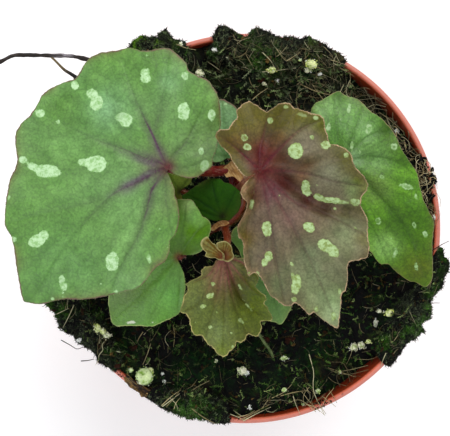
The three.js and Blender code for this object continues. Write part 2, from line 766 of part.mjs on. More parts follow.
// Petioles: where each leaves the stem, as a share of its length, its radius at both ends, and the
// [u, v, z] points that it passes on the way up to its blade.
const PETIOLES = {
  big_green: {
    from: 0.88,
    radius: [1.7, 1.35],
    by: [[231, 172, 102], [214, 171.5, 109], [192, 170.5, 121], [176, 168.5, 131], [169, 168, 135]],
  },
  bronze: {
    from: 0.95,
    radius: [1.6, 1.3],
    by: [[249, 179, 116], [256, 174, 132], [260, 171, 144]],
  },
  right_green: {
    from: 0.86,
    radius: [1.3, 1],
    by: [[272, 184, 101.5], [308, 172, 107.5], [334, 162, 112], [342, 161, 115]],
  },
  young_olive: {
    from: 0.9,
    radius: [1.2, 1],
    by: [
      [241, 206, 100], [232, 219, 101.5], [225, 226, 104.5], [227.5, 238, 111],
      [225.5, 250, 117], [224, 257, 120.5],
    ],
  },
  lower_green: {
    from: 0.66,
    radius: [1.3, 1.05],
    by: [[224, 224, 93.5], [211, 230, 99], [194, 243.5, 107], [181, 255.5, 112.5], [178, 258, 115]],
  },
  middle_dark: {
    from: 0.82,
    radius: [1.05, 0.95],
    by: [[232, 206, 97.5], [226, 213, 102.5], [222.5, 216, 109]],
  },
  upper_green: {
    from: 0.8,
    radius: [1, 0.8],
    by: [[243, 178, 96.5], [240, 167, 101], [232, 158, 106.5], [228, 155.5, 110.5]],
  },
  under_bronze: {
    from: 0.66,
    radius: [1.1, 0.9],
    by: [[248, 214, 94], [252, 228, 101], [252.5, 236.5, 106.5]],
  },
  under_big: {
    from: 0.62,
    radius: [1, 0.8],
    by: [[212, 203, 93], [192, 195, 98], [180.5, 190.5, 101.5]],
  },
};

function petioleSolid(name, leaf, thickStem, grow) {
  const { from, radius, by } = PETIOLES[name];
  const places = by.map(([u, v, z]) => fromView(u, v, z));
  const curve = new THREE.CatmullRomCurve3([STEM.getPointAt(from), ...places]);
  const steps = 4 + 2 * by.length;
  const thickness = (t) => lerp(radius[0], radius[1], t) + grow;
  const whole = solidOf(rod(curve, thickness, PETIOLE_SIDES, steps, grow));
  if (grow > 0) return whole;
  return largest(whole.subtract(thickStem).subtract(aboveUnderside(name, leaf)));
}

// Stipule: the dry papery bract at the stem's tip.
const STIPULE = {
  hub: [233, 171],
  outline: [
    [223, 168.5], [228, 164], [232.5, 160.5], [236, 164], [240, 170], [245, 178], [243, 184],
    [239, 181], [233, 176.5], [226, 177],
  ],
};

function stipuleSolid(cutters) {
  const top = (u, v) => 104.5 + (240 - u) * 0.12 + (168 - v) * 0.06;
  const whole = solidOf(sheet(STIPULE.outline, STIPULE.hub, 2, top, (u, v) => top(u, v) - BLADE_T));
  return largest(cutters.reduce((solid, cutter) => solid.subtract(cutter), whole));
}

// Moss mats: cushions that grow over the mix and, in places, out over the rim.
const MOSS_MATS = {
  moss_northwest: {
    hub: [160, 55],
    crown: 3.4,
    outline: [
      [126, 52], [130, 43], [138, 37], [148, 35], [157, 36], [160, 30], [165, 28], [169, 31],
      [173, 38], [182, 40], [188, 45], [192, 56], [187, 70], [168, 80], [146, 76], [131, 65],
    ],
  },
  moss_north: {
    hub: [272, 58],
    crown: 3.2,
    outline: [
      [205, 54], [211, 42], [214, 31], [218, 26.5], [224, 25.5], [230, 28], [238, 33.5],
      [247, 36], [251, 29], [257, 27], [266, 31], [276, 37], [290, 36], [303, 38], [309, 36], [319, 41], [331, 47],
      [345, 60], [340, 74], [322, 79], [300, 76], [278, 82], [255, 84], [232, 76], [214, 67],
    ],
  },
  moss_east: {
    hub: [412, 310],
    crown: 2.8,
    outline: [
      [441, 246], [446, 256], [450, 266], [446, 276], [442, 287], [435, 295], [432, 303],
      [431, 318], [421, 324], [425, 333], [418, 338], [407, 344], [401, 353],
      [394, 363], [388, 368], [376, 356], [376, 338], [386, 318], [398, 300], [414, 287],
      [424, 275], [433, 256],
    ],
  },
  moss_southwest: {
    hub: [92, 330],
    crown: 2.6,
    outline: [
      [44, 302], [55, 314], [58, 326], [64, 332], [71, 336], [77, 344], [88, 350], [96, 356],
      [99, 364], [107, 368], [116, 372], [124, 362], [118, 345], [110, 326], [104, 308],
      [92, 300], [74, 297], [56, 297],
    ],
  },
  moss_south: {
    hub: [190, 405],
    crown: 2,
    outline: [
      [146, 396], [158, 406], [171, 413], [184, 418], [203, 420.5], [219, 424], [229, 423],
      [230, 408], [222, 396], [204, 390], [184, 388], [164, 386], [150, 388],
    ],
  },
};

function mossSolid(mat, thickMix, thickLip) {
  const low = (u, v) => {
    const place = fromView(u, v, POT_H);
    const inPot = Math.hypot(place.x, place.y) < LIP_IN_R - 2;
    return inPot ? mixHeight(place.x, place.y) - 1 : POT_H - 1.2;
  };
  const top = (u, v, t) => {
    const place = fromView(u, v, POT_H);
    const ground = Math.max(mixHeight(place.x, place.y), POT_H - 0.4);
    const lumps = 0.55 * Math.sin(u * 0.33 + v * 0.12) * Math.cos(v * 0.41 - u * 0.09);
    return ground + 0.9 + (mat.crown + lumps) * Math.sqrt(1 - 0.85 * t * t);
  };
  const whole = solidOf(sheet(mat.outline, mat.hub, 4, top, low));
  return largest(whole.subtract(thickMix).subtract(thickLip));
}

// The pot's upper wall with room all round, which the moss is fitted over.
function thickLipSolid() {
  const profile = [
    [NECK_R - WALL - GAP, BAND_Z - 12],
    [BAND_OUT_R + 1.2, BAND_Z - 12],
    [RIM_R + GAP, POT_H - 3],
    [RIM_R + GAP, POT_H + GAP],
    [LIP_IN_R - GAP, POT_H + GAP],
    [innerRadius(BAND_Z + 0.01) - GAP, BAND_Z + 0.5],
    [innerRadius(BAND_Z) - GAP, BAND_Z - 0.5],
  ].map(([r, z]) => new THREE.Vector2(r, z));
  profile.push(profile[0].clone());
  return solidOf(new THREE.LatheGeometry(profile, WALL_TURNS).rotateX(Math.PI / 2));
}

// A dry twig: pushed into the mix at one end, out over the rim at the other, with one side shoot.
const TWIG = curveThrough([
  [160, 126, 80],
  [150, 112, 88],
  [136, 92, 94.5],
  [120, 74, 97.5],
  [104, 63, 98.5],
  [88, 59.5, 98.5],
  [70, 56, 98],
  [48, 55.5, 98],
  [22, 55, 98],
  [12, 56, 98],
  [2, 61, 98],
  [-9, 66, 97.5],
]);
const TWIG_R = 0.72;
const TWIG_SHOOT = curveThrough([
  [50, 56, 98],
  [55, 60.5, 98.2],
  [64, 69.5, 98.6],
  [71, 74, 98.8],
  [77, 78, 98.6],
]);

function twigSolid(grow) {
  const thickness = (t) => (TWIG_R + 0.12 * Math.sin(t * 60)) * (1 - 0.25 * t) + grow;
  const shoot = solidOf(rod(TWIG_SHOOT, (t) => 0.32 + 0.3 * t, 5, 6));
  return solidOf(rod(TWIG, thickness, 6, 20, grow)).add(shoot);
}

// A pale stalk that stands in the mix and leans under the young leaf.
const SPROUT = curveThrough([
  [278, 371, 78],
  [275.5, 364, 86],
  [271, 352, 89.5],
  [264, 342, 92],
  [258, 332, 95],
]);

function sproutSolid(grow) {
  return solidOf(rod(SPROUT, (t) => 0.75 - 0.25 * t + grow, 6, 6, grow));
}

// Assembly.
const stem = stemSolid(0);
const thickStem = stemSolid(GAP);
const thickLip = thickLipSolid();
const thickMix = fullMixSolid(GAP, null);

function holedMixSolid() {
  const holes = [thickStem, twigSolid(GAP), sproutSolid(GAP)];
  return largest(holes.reduce((mix, hole) => mix.subtract(hole), fullMixSolid(0, thickLip)));
}

add("pot", potGeometry(), TERRACOTTA);
add("potting_mix", geometryOf(holedMixSolid()), PEAT);
for (const [name, mat] of Object.entries(MOSS_MATS)) {
  add(name, geometryOf(mossSolid(mat, thickMix, thickLip)), MOSS);
}
add("stem", geometryOf(stem), STEM_RED);
const aroundStipule = [thickStem];
for (const [name, leaf] of Object.entries(LEAVES)) {
  aroundStipule.push(petioleSolid(name, leaf, thickStem, GAP));
  add("petiole_" + name, geometryOf(petioleSolid(name, leaf, thickStem, 0)), STEM_RED);
  add("leaf_" + name, geometryOf(bladeSolid(name, leaf)), leaf.finish);
}
add("stipule", geometryOf(stipuleSolid(aroundStipule)), STIPULE_TAN);
add("twig", geometryOf(twigSolid(0)), TWIG_BLACK);
add("sprout", geometryOf(sproutSolid(0)), SPROUT_GREEN);

export default group;
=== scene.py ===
import itertools
from math import cos, exp, hypot, pi, radians, sin
import bpy
import numpy as np
from numpy.linalg import norm
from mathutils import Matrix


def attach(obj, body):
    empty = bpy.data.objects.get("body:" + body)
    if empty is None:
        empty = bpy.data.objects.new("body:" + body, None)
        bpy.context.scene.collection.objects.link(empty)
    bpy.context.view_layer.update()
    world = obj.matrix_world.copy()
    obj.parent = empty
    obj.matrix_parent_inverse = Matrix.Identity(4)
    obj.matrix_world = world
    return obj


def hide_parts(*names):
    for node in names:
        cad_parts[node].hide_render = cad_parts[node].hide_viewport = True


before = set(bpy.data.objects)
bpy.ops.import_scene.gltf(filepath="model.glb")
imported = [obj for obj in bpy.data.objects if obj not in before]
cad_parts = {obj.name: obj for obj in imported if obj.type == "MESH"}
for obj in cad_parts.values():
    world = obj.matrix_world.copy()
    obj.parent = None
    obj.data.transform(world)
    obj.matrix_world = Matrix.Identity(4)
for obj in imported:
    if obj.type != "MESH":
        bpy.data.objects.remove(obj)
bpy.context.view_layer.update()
rng = np.random.default_rng(11)

# Sizes in millimetres; plan points are in the pixels of the 450 x 436 top view.
RIM_R, POT_H, BASE_R, BAND_H, WALL, LIP_W, FLOOR_Z = 60.0, 92.0, 42.0, 13.0, 1.5, 1.9, 1.5
RIM_PX, RIM_CENTRE, MIDDLE, EYE_ABOVE_RIM = 391.0, (245.5, 228.5), (225.0, 218.0), 360.0
PX = 2 * RIM_R / RIM_PX
EYE = np.array([(MIDDLE[0] - RIM_CENTRE[0]) * PX, (RIM_CENTRE[1] - MIDDLE[1]) * PX, POT_H + EYE_ABOVE_RIM])
BAND_Z = POT_H - BAND_H
LIP_IN_R = RIM_R - LIP_W
BAND_OUT_R = RIM_R - 1.6
NECK_R = BAND_OUT_R - 2.2
FOOT_DISC_R, FOOT_W, DRAIN_R, DRAIN_RING_R = 15.0, 4.0, 4.0, 27.0
LEAF_PX = 0.275
FAR = 1e9
HAIR_R = 0.035


def from_view(u, v, z):
    """Where the eye sees pixel (u, v) at height z."""
    scale = (EYE[2] - z) / EYE_ABOVE_RIM * PX
    x, y = EYE[0] + (u - MIDDLE[0]) * scale, EYE[1] - (v - MIDDLE[1]) * scale
    return np.stack(np.broadcast_arrays(x, y, z * 1.0), -1)


def step(x, a, b):
    """Rises smoothly from 0 at a to 1 at b."""
    t = np.clip((x - a) / (b - a), 0, 1)
    return t * t * (3 - 2 * t)


def mix(a, b, t):
    t = np.asarray(t)[..., None] if np.ndim(t) else t
    return np.asarray(a) * (1 - t) + np.asarray(b) * t


LIGHT, VEIL = 1.27, np.array([0.017, 0.017, 0.024])


def rgb(r, g, b):
    """The albedo that looks like this sRGB colour on a level surface in the scene's light."""
    c = np.array([r, g, b]) / 255.0
    seen = np.where(c <= 0.04045, c / 12.92, ((c + 0.055) / 1.055) ** 2.4)
    return np.clip((seen - VEIL) / LIGHT, 0.002, 0.95)


# Repeatable smooth noise from -1 to 1, with features of a given size.
def lattice(i, j, k, seed):
    n = (i * 374761393 + j * 668265263 + k * 974634777 + seed * 362437) & 0xFFFFFFFF
    n = ((n ^ (n >> 13)) * 1274126177) & 0xFFFFFFFF
    return ((n ^ (n >> 16)) & 0xFFFF) / 32767.5 - 1


def noise(p, size, seed=0):
    q = np.asarray(p, float) / size
    i = np.floor(q).astype(np.int64)
    f = q - i
    f = f * f * (3 - 2 * f)
    total = 0
    for corner in itertools.product((0, 1), repeat=3):
        w = np.where(corner, f, 1 - f)
        total = total + w[..., 0] * w[..., 1] * w[..., 2] * lattice(*np.moveaxis(i + corner, -1, 0), seed)
    return total


def fbm(p, size, octaves=3, seed=0):
    """Noise in layers, each half as large and half as strong as the one before."""
    return sum(noise(p, size / 2 ** o, seed + 17 * o) / 2 ** o for o in range(octaves))


def flat(x, y):
    """Plan places as points for the noise."""
    return np.stack([x, y, np.zeros_like(x)], -1)


def bell(x, width):
    return np.exp(-(x / width) ** 2)


def over(tint, *layers):
    """The tint with colours laid over it one by one, each with its share."""
    for *colour, share in layers:
        tint = mix(tint, rgb(*colour), share)
    return tint


def rows(text, width=2):
    """The numbers of a text, in rows of the given width."""
    return np.array(text.split(), float).reshape(-1, width)


def lines(text):
    """Plan lines from a text that has a slash between them."""
    return [rows(line) for line in text.split("/")]


def unit(v, least=1e-9):
    """The vector with a length of 1; least keeps a vector of no length from failing."""
    return v / (norm(v) + least)


def polar(r, a):
    return [r * cos(a), r * sin(a)]


def level_ring(r, z, angles):
    return np.stack([r * np.cos(angles), r * np.sin(angles), np.full(len(angles), z)], -1)


def vary(low, spread, power=1):
    """A random number from low up to low + spread, with more small ones for higher powers."""
    return low + spread * rng.random() ** power


# Mesh helpers.
def piece(name, points, faces, material, attributes, slot, *replaces, smooth=True):
    """A mesh in millimetres, with a value or a colour for each point; an array alone is its colours."""
    mesh = bpy.data.meshes.new(name)
    mesh.from_pydata((np.asarray(points) * 0.001).tolist(), [], faces)
    mesh.polygons.foreach_set("use_smooth", np.full(len(mesh.polygons), smooth))
    if not isinstance(attributes, dict):
        attributes = {"tint": attributes}
    for key, values in attributes.items():
        values = np.asarray(values, float)
        if values.ndim == 1:
            mesh.attributes.new(key, "FLOAT", "POINT").data.foreach_set("value", values)
        else:
            full = np.concatenate([values, np.ones((len(values), 1))], 1)
            mesh.attributes.new(key, "FLOAT_COLOR", "POINT").data.foreach_set("color", full.ravel())
    mesh.materials.append(material)
    mesh.update()
    obj = bpy.data.objects.new(name, mesh)
    bpy.context.scene.collection.objects.link(obj)
    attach(obj, "root")
    if replaces:
        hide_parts(*replaces)
    return obj


class Heap:
    """Many small shapes gathered into one mesh, with a colour for each point."""

    def __init__(self):
        self.points, self.faces, self.tints, self.count = [], [], [], 0

    def add(self, points, faces, tints):
        points = np.asarray(points, float).reshape(-1, 3)
        self.points.append(points)
        self.tints.append(np.broadcast_to(tints, points.shape))
        self.faces.append([[i + self.count for i in f] for f in faces])
        self.count += len(points)

    def make(self, name, material, slot, smooth=True):
        faces = [f for part in self.faces for f in part]
        return piece(name, np.concatenate(self.points), faces, material, np.concatenate(self.tints), slot,
                     smooth=smooth)


def closed_curve(points, n):
    """n points along the smooth closed curve through the given ones, anticlockwise in the world."""
    p = np.asarray(points, float)
    gaps = norm(np.roll(p, -1, 0) - p, axis=1)
    s = np.concatenate([[0], np.cumsum(gaps)])
    at = np.linspace(0, s[-1], n, endpoint=False)
    i = np.searchsorted(s, at, side="right") - 1
    t = ((at - s[i]) / gaps[i])[:, None]
    m = len(p)
    a, b, c, d = p[(i - 1) % m], p[i], p[(i + 1) % m], p[(i + 2) % m]
    ga, gb, gc = gaps[(i - 1) % m][:, None], gaps[i][:, None], gaps[(i + 1) % m][:, None]
    tb = (c - a) / (ga + gb) * gb * 0.85
    tc = (d - b) / (gb + gc) * gb * 0.85
    h = t * t * (3 - 2 * t)
    loop = b * (1 - h) + c * h + tb * t * (1 - t) ** 2 - tc * t * t * (1 - t)
    turning = np.sum(loop[:, 0] * np.roll(loop[:, 1], -1) - np.roll(loop[:, 0], -1) * loop[:, 1])
    return loop[::-1] if turning > 0 else loop


def open_curve(points, n):
    """n points along the smooth curve through the given ones."""
    p = np.asarray(points, float)
    p = np.concatenate([[2 * p[0] - p[1]], p, [2 * p[-1] - p[-2]]])
    gaps = norm(np.diff(p[1:-1], axis=0), axis=1)
    s = np.concatenate([[0], np.cumsum(gaps)])
    at = np.linspace(0, s[-1], n)
    i = np.clip(np.searchsorted(s, at, side="right") - 1, 0, len(gaps) - 1)
    t = ((at - s[i]) / gaps[i])[:, None]
    a, b, c, d = p[i], p[i + 1], p[i + 2], p[i + 3]
    bend = (2 * a - 5 * b + 4 * c - d) * t * t
    return 0.5 * (2 * b + (c - a) * t + bend + (3 * b - a - 3 * c + d) * t ** 3)


def tube(path, radii, sides):
    """A round bar along a path, closed at both ends: points, faces and each point's share of the way."""
    path = np.asarray(path, float)
    n = len(path)
    radii = np.broadcast_to(radii, n)
    tangent = np.gradient(path, axis=0)
    tangent /= norm(tangent, axis=1)[:, None] + 1e-12
    side = np.cross(tangent[0], [0.31, 0.74, 0.6])
    rings = []
    angles = np.arange(sides) * 2 * pi / sides
    for i in range(n):
        side = side - tangent[i] * np.dot(side, tangent[i])
        side /= norm(side) + 1e-12
        other = np.cross(tangent[i], side)
        x, y = np.cos(angles) * radii[i], np.sin(angles) * radii[i]
        rings.append(path[i] + x[:, None] * side + y[:, None] * other)
    points = np.concatenate(rings + [path[:1], path[-1:]])
    faces = []
    for i in range(n - 1):
        for j in range(sides):
            k = (j + 1) % sides
            faces.append([i * sides + j, i * sides + k, (i + 1) * sides + k, (i + 1) * sides + j])
    for j in range(sides):
        k = (j + 1) % sides
        faces.append([n * sides, k, j])
        faces.append([n * sides + 1, (n - 1) * sides + j, (n - 1) * sides + k])
    share = np.concatenate([np.repeat(np.linspace(0, 1, n), sides), [0, 1]])
    return points, faces, share


def star(loop, hub, shares):
    """Plan points on rings about a hub, and each one's share of the way out to the loop."""
    p = np.concatenate([[hub], (hub + shares[:, None, None] * (loop - hub)[None]).reshape(-1, 2)])
    return p, np.concatenate([[0], np.repeat(shares, len(loop))])


def star_faces(start, rings, around, flip=False):
    """Faces of a hub, the point of number start, and of the rings about it."""
    faces = []
    for j in range(around):
        k = (j + 1) % around
        strip = [[start, start + 1 + j, start + 1 + k]]
        for a in range(start + 1, start + 1 + (rings - 1) * around, around):
            strip.append([a + j, a + around + j, a + around + k, a + k])
        faces += [f[::-1] for f in strip] if flip else strip
    return faces


def band_faces(a, b, around):
    """Faces between two rings whose first points have the numbers a and b."""
    return [[a + j, b + j, b + (j + 1) % around, a + (j + 1) % around] for j in range(around)]


def sheet(u, v, z, thick, rings, around):
    """A closed sheet of even thickness over the points of a star."""
    n, last = len(u), 1 + (rings - 1) * around
    points = np.concatenate([from_view(u, v, z), from_view(u, v, z - thick)])
    return points, (star_faces(0, rings, around) + star_faces(n, rings, around, True)
                    + band_faces(last, n + last, around))


# Materials.
class Nodes:
    """Short names for building a node tree."""

    def __init__(self, name):
        self.material = bpy.data.materials.new(name)
        self.material.use_nodes = True
        self.tree = self.material.node_tree
        self.tree.nodes.clear()
        self.out = self.tree.nodes.new("ShaderNodeOutputMaterial")
        self.place = self.tree.nodes.new("ShaderNodeTexCoord").outputs["Object"]

    def set(self, socket, value):
        if hasattr(value, "is_output"):
            self.tree.links.new(value, socket)
        elif isinstance(value, (tuple, list, np.ndarray)):
            socket.default_value = (*[float(x) for x in value], 1.0)[: len(socket.default_value)]
        else:
            socket.default_value = value

    def node(self, kind, inputs, output=0, **settings):
        """Adds a node; its inputs have numbers or names."""
        node = self.tree.nodes.new("ShaderNode" + kind)
        for key, value in settings.items():
            setattr(node, key, value)
        for key, value in inputs.items():
            self.set(node.inputs[key], value)
        return node.outputs[output]

    def attribute(self, name, colour=False):
        return self.node("Attribute", {}, "Color" if colour else "Fac", attribute_name=name)

    def math(self, operation, a, b=0.0, clamp=False):
        return self.node("Math", {0: a, 1: b}, operation=operation, use_clamp=clamp)

    def times(self, a, b, clamp=False):
        return self.math("MULTIPLY", a, b, clamp)

    def plus(self, a, b):
        return self.math("ADD", a, b)

    def ramp(self, value, a, b, low=0.0, high=1.0):
        inputs = dict(enumerate((value, a, b, low, high)))
        return self.node("MapRange", inputs, interpolation_type="SMOOTHSTEP")

    def noise(self, scale, detail=3.0, rough=0.55, warp=0.0):
        return self.node("TexNoise", {"Vector": self.place, "Scale": scale, "Detail": detail,
                                      "Roughness": rough, "Distortion": warp}, "Fac")

    def cells(self, scale, feature="DISTANCE_TO_EDGE"):
        return self.node("TexVoronoi", {"Vector": self.place, "Scale": scale}, "Distance", feature=feature)

    def blend(self, a, b, share):
        return self.node("Mix", {0: share, 6: a, 7: b}, 2, data_type="RGBA")

    def shade(self, colour, brightness):
        """Colour times a number."""
        return self.node("VectorMath", {0: colour, 3: brightness}, operation="SCALE")

    def speckle(self, colour, value, low, high, spread):
        """Colour made darker and lighter by the given spread where the value is low and high."""
        return self.shade(colour, self.ramp(value, low, high, 1 - spread, 1 + spread))

    def bump(self, height, strength, distance_mm):
        inputs = {"Height": height, "Strength": strength, "Distance": distance_mm * 0.001}
        return self.node("Bump", inputs, "Normal")

    def finish(self, colour, roughness, specular, normal=None, **more):
        inputs = {"Base Color": colour, "Roughness": roughness, "Specular IOR Level": specular}
        if normal is not None:
            inputs["Normal"] = normal
        inputs.update((key.replace("_", " "), value) for key, value in more.items())
        self.set(self.out.inputs["Surface"], self.node("BsdfPrincipled", inputs))
        return self.material


def tinted(name, roughness, specular, grain, amount, bump=0.0, bump_mm=0.1, patch=0.0):
    """Takes its colour from the points, with a grain of the given scale and broader patches over it."""
    n = Nodes(name)
    fine = n.noise(grain, 4.0, 0.65)
    colour = n.speckle(n.attribute("tint", True), fine, 0.25, 0.75, amount)
    if patch:
        coarse = n.noise(620.0, 5.0, 0.72, 0.8)
        colour = n.speckle(colour, coarse, 0.36, 0.66, patch)
        fine = n.plus(fine, n.times(coarse, 1.4))
    rough = n.ramp(fine, 0.2, 0.8, roughness - 0.08, min(1.0, roughness + 0.08))
    return n.finish(colour, rough, specular, n.bump(fine, bump, bump_mm) if bump else None)


def leaf_material(name, colours, margin_mm, rough, net, specular=0.34, mottle=0.14):
    """Its colours are those of the pale spots, their bright flecks, the margin and the underside."""
    spot_a, spot_b, margin, under = (rgb(*colour) for colour in rows(colours, 3))
    n = Nodes(name)
    fine = n.noise(1500.0, 3.0, 0.6)
    broad = n.noise(210.0, 3.0, 0.55, 0.4)
    cells = n.ramp(n.cells(520.0), 0.0, 0.16)
    small = n.ramp(n.cells(1500.0), 0.0, 0.2)
    colour = n.speckle(n.attribute("tint", True), fine, 0.3, 0.7, mottle)
    colour = n.speckle(colour, broad, 0.3, 0.7, 0.09)
    colour = n.shade(colour, n.ramp(cells, 0.0, 1.0, 1 - net, 1 + 0.3 * net))
    colour = n.shade(colour, n.ramp(small, 0.0, 1.0, 1 - 0.5 * net, 1.0))
    # Pale spots: sharp, slightly ragged, some of them hollow like rings.
    wobble = n.times(n.math("SUBTRACT", n.noise(340.0, 4.0, 0.72), 0.5), 1.9)
    depth = n.plus(n.attribute("spot"), wobble)
    inside = n.ramp(depth, 0.1, -0.12)
    core = n.times(n.ramp(n.attribute("spot"), -0.3, -0.5), n.attribute("hollow"))
    mask = n.times(inside, n.math("SUBTRACT", 1.0, core))
    mask = n.times(mask, n.attribute("tone"), clamp=True)
    speck = n.ramp(n.noise(900.0, 3.0, 0.65), 0.32, 0.62)
    pale = n.blend(n.blend(spot_a, colour, 0.08), spot_b, speck)
    colour = n.blend(colour, n.blend(pale, spot_a, n.ramp(depth, -0.3, 0.0, 0.0, 0.7)), mask)
    # Thin coloured line along the margin.
    rim = n.plus(n.attribute("edge"), n.times(n.math("SUBTRACT", fine, 0.5), 0.25))
    uneven = n.ramp(n.noise(330.0, 3.0, 0.6), 0.38, 0.62, 0.2, 1.0)
    colour = n.blend(colour, margin, n.times(n.ramp(rim, margin_mm, margin_mm * 0.4, 0.0, 0.95), uneven))
    # Underside.
    below = n.blend(n.speckle(under, broad, 0.3, 0.7, 0.15), rgb(110, 40, 42), n.attribute("vein"))
    colour = n.blend(below, colour, n.attribute("face"))
    height = n.plus(n.times(cells, 0.55), n.times(fine, 0.5))
    height = n.plus(height, n.times(small, 0.25))
    height = n.plus(height, n.times(mask, -0.1))
    return n.finish(colour, n.ramp(fine, 0.25, 0.75, rough - 0.06, rough + 0.1), specular,
                    n.bump(height, 0.4, 0.16))


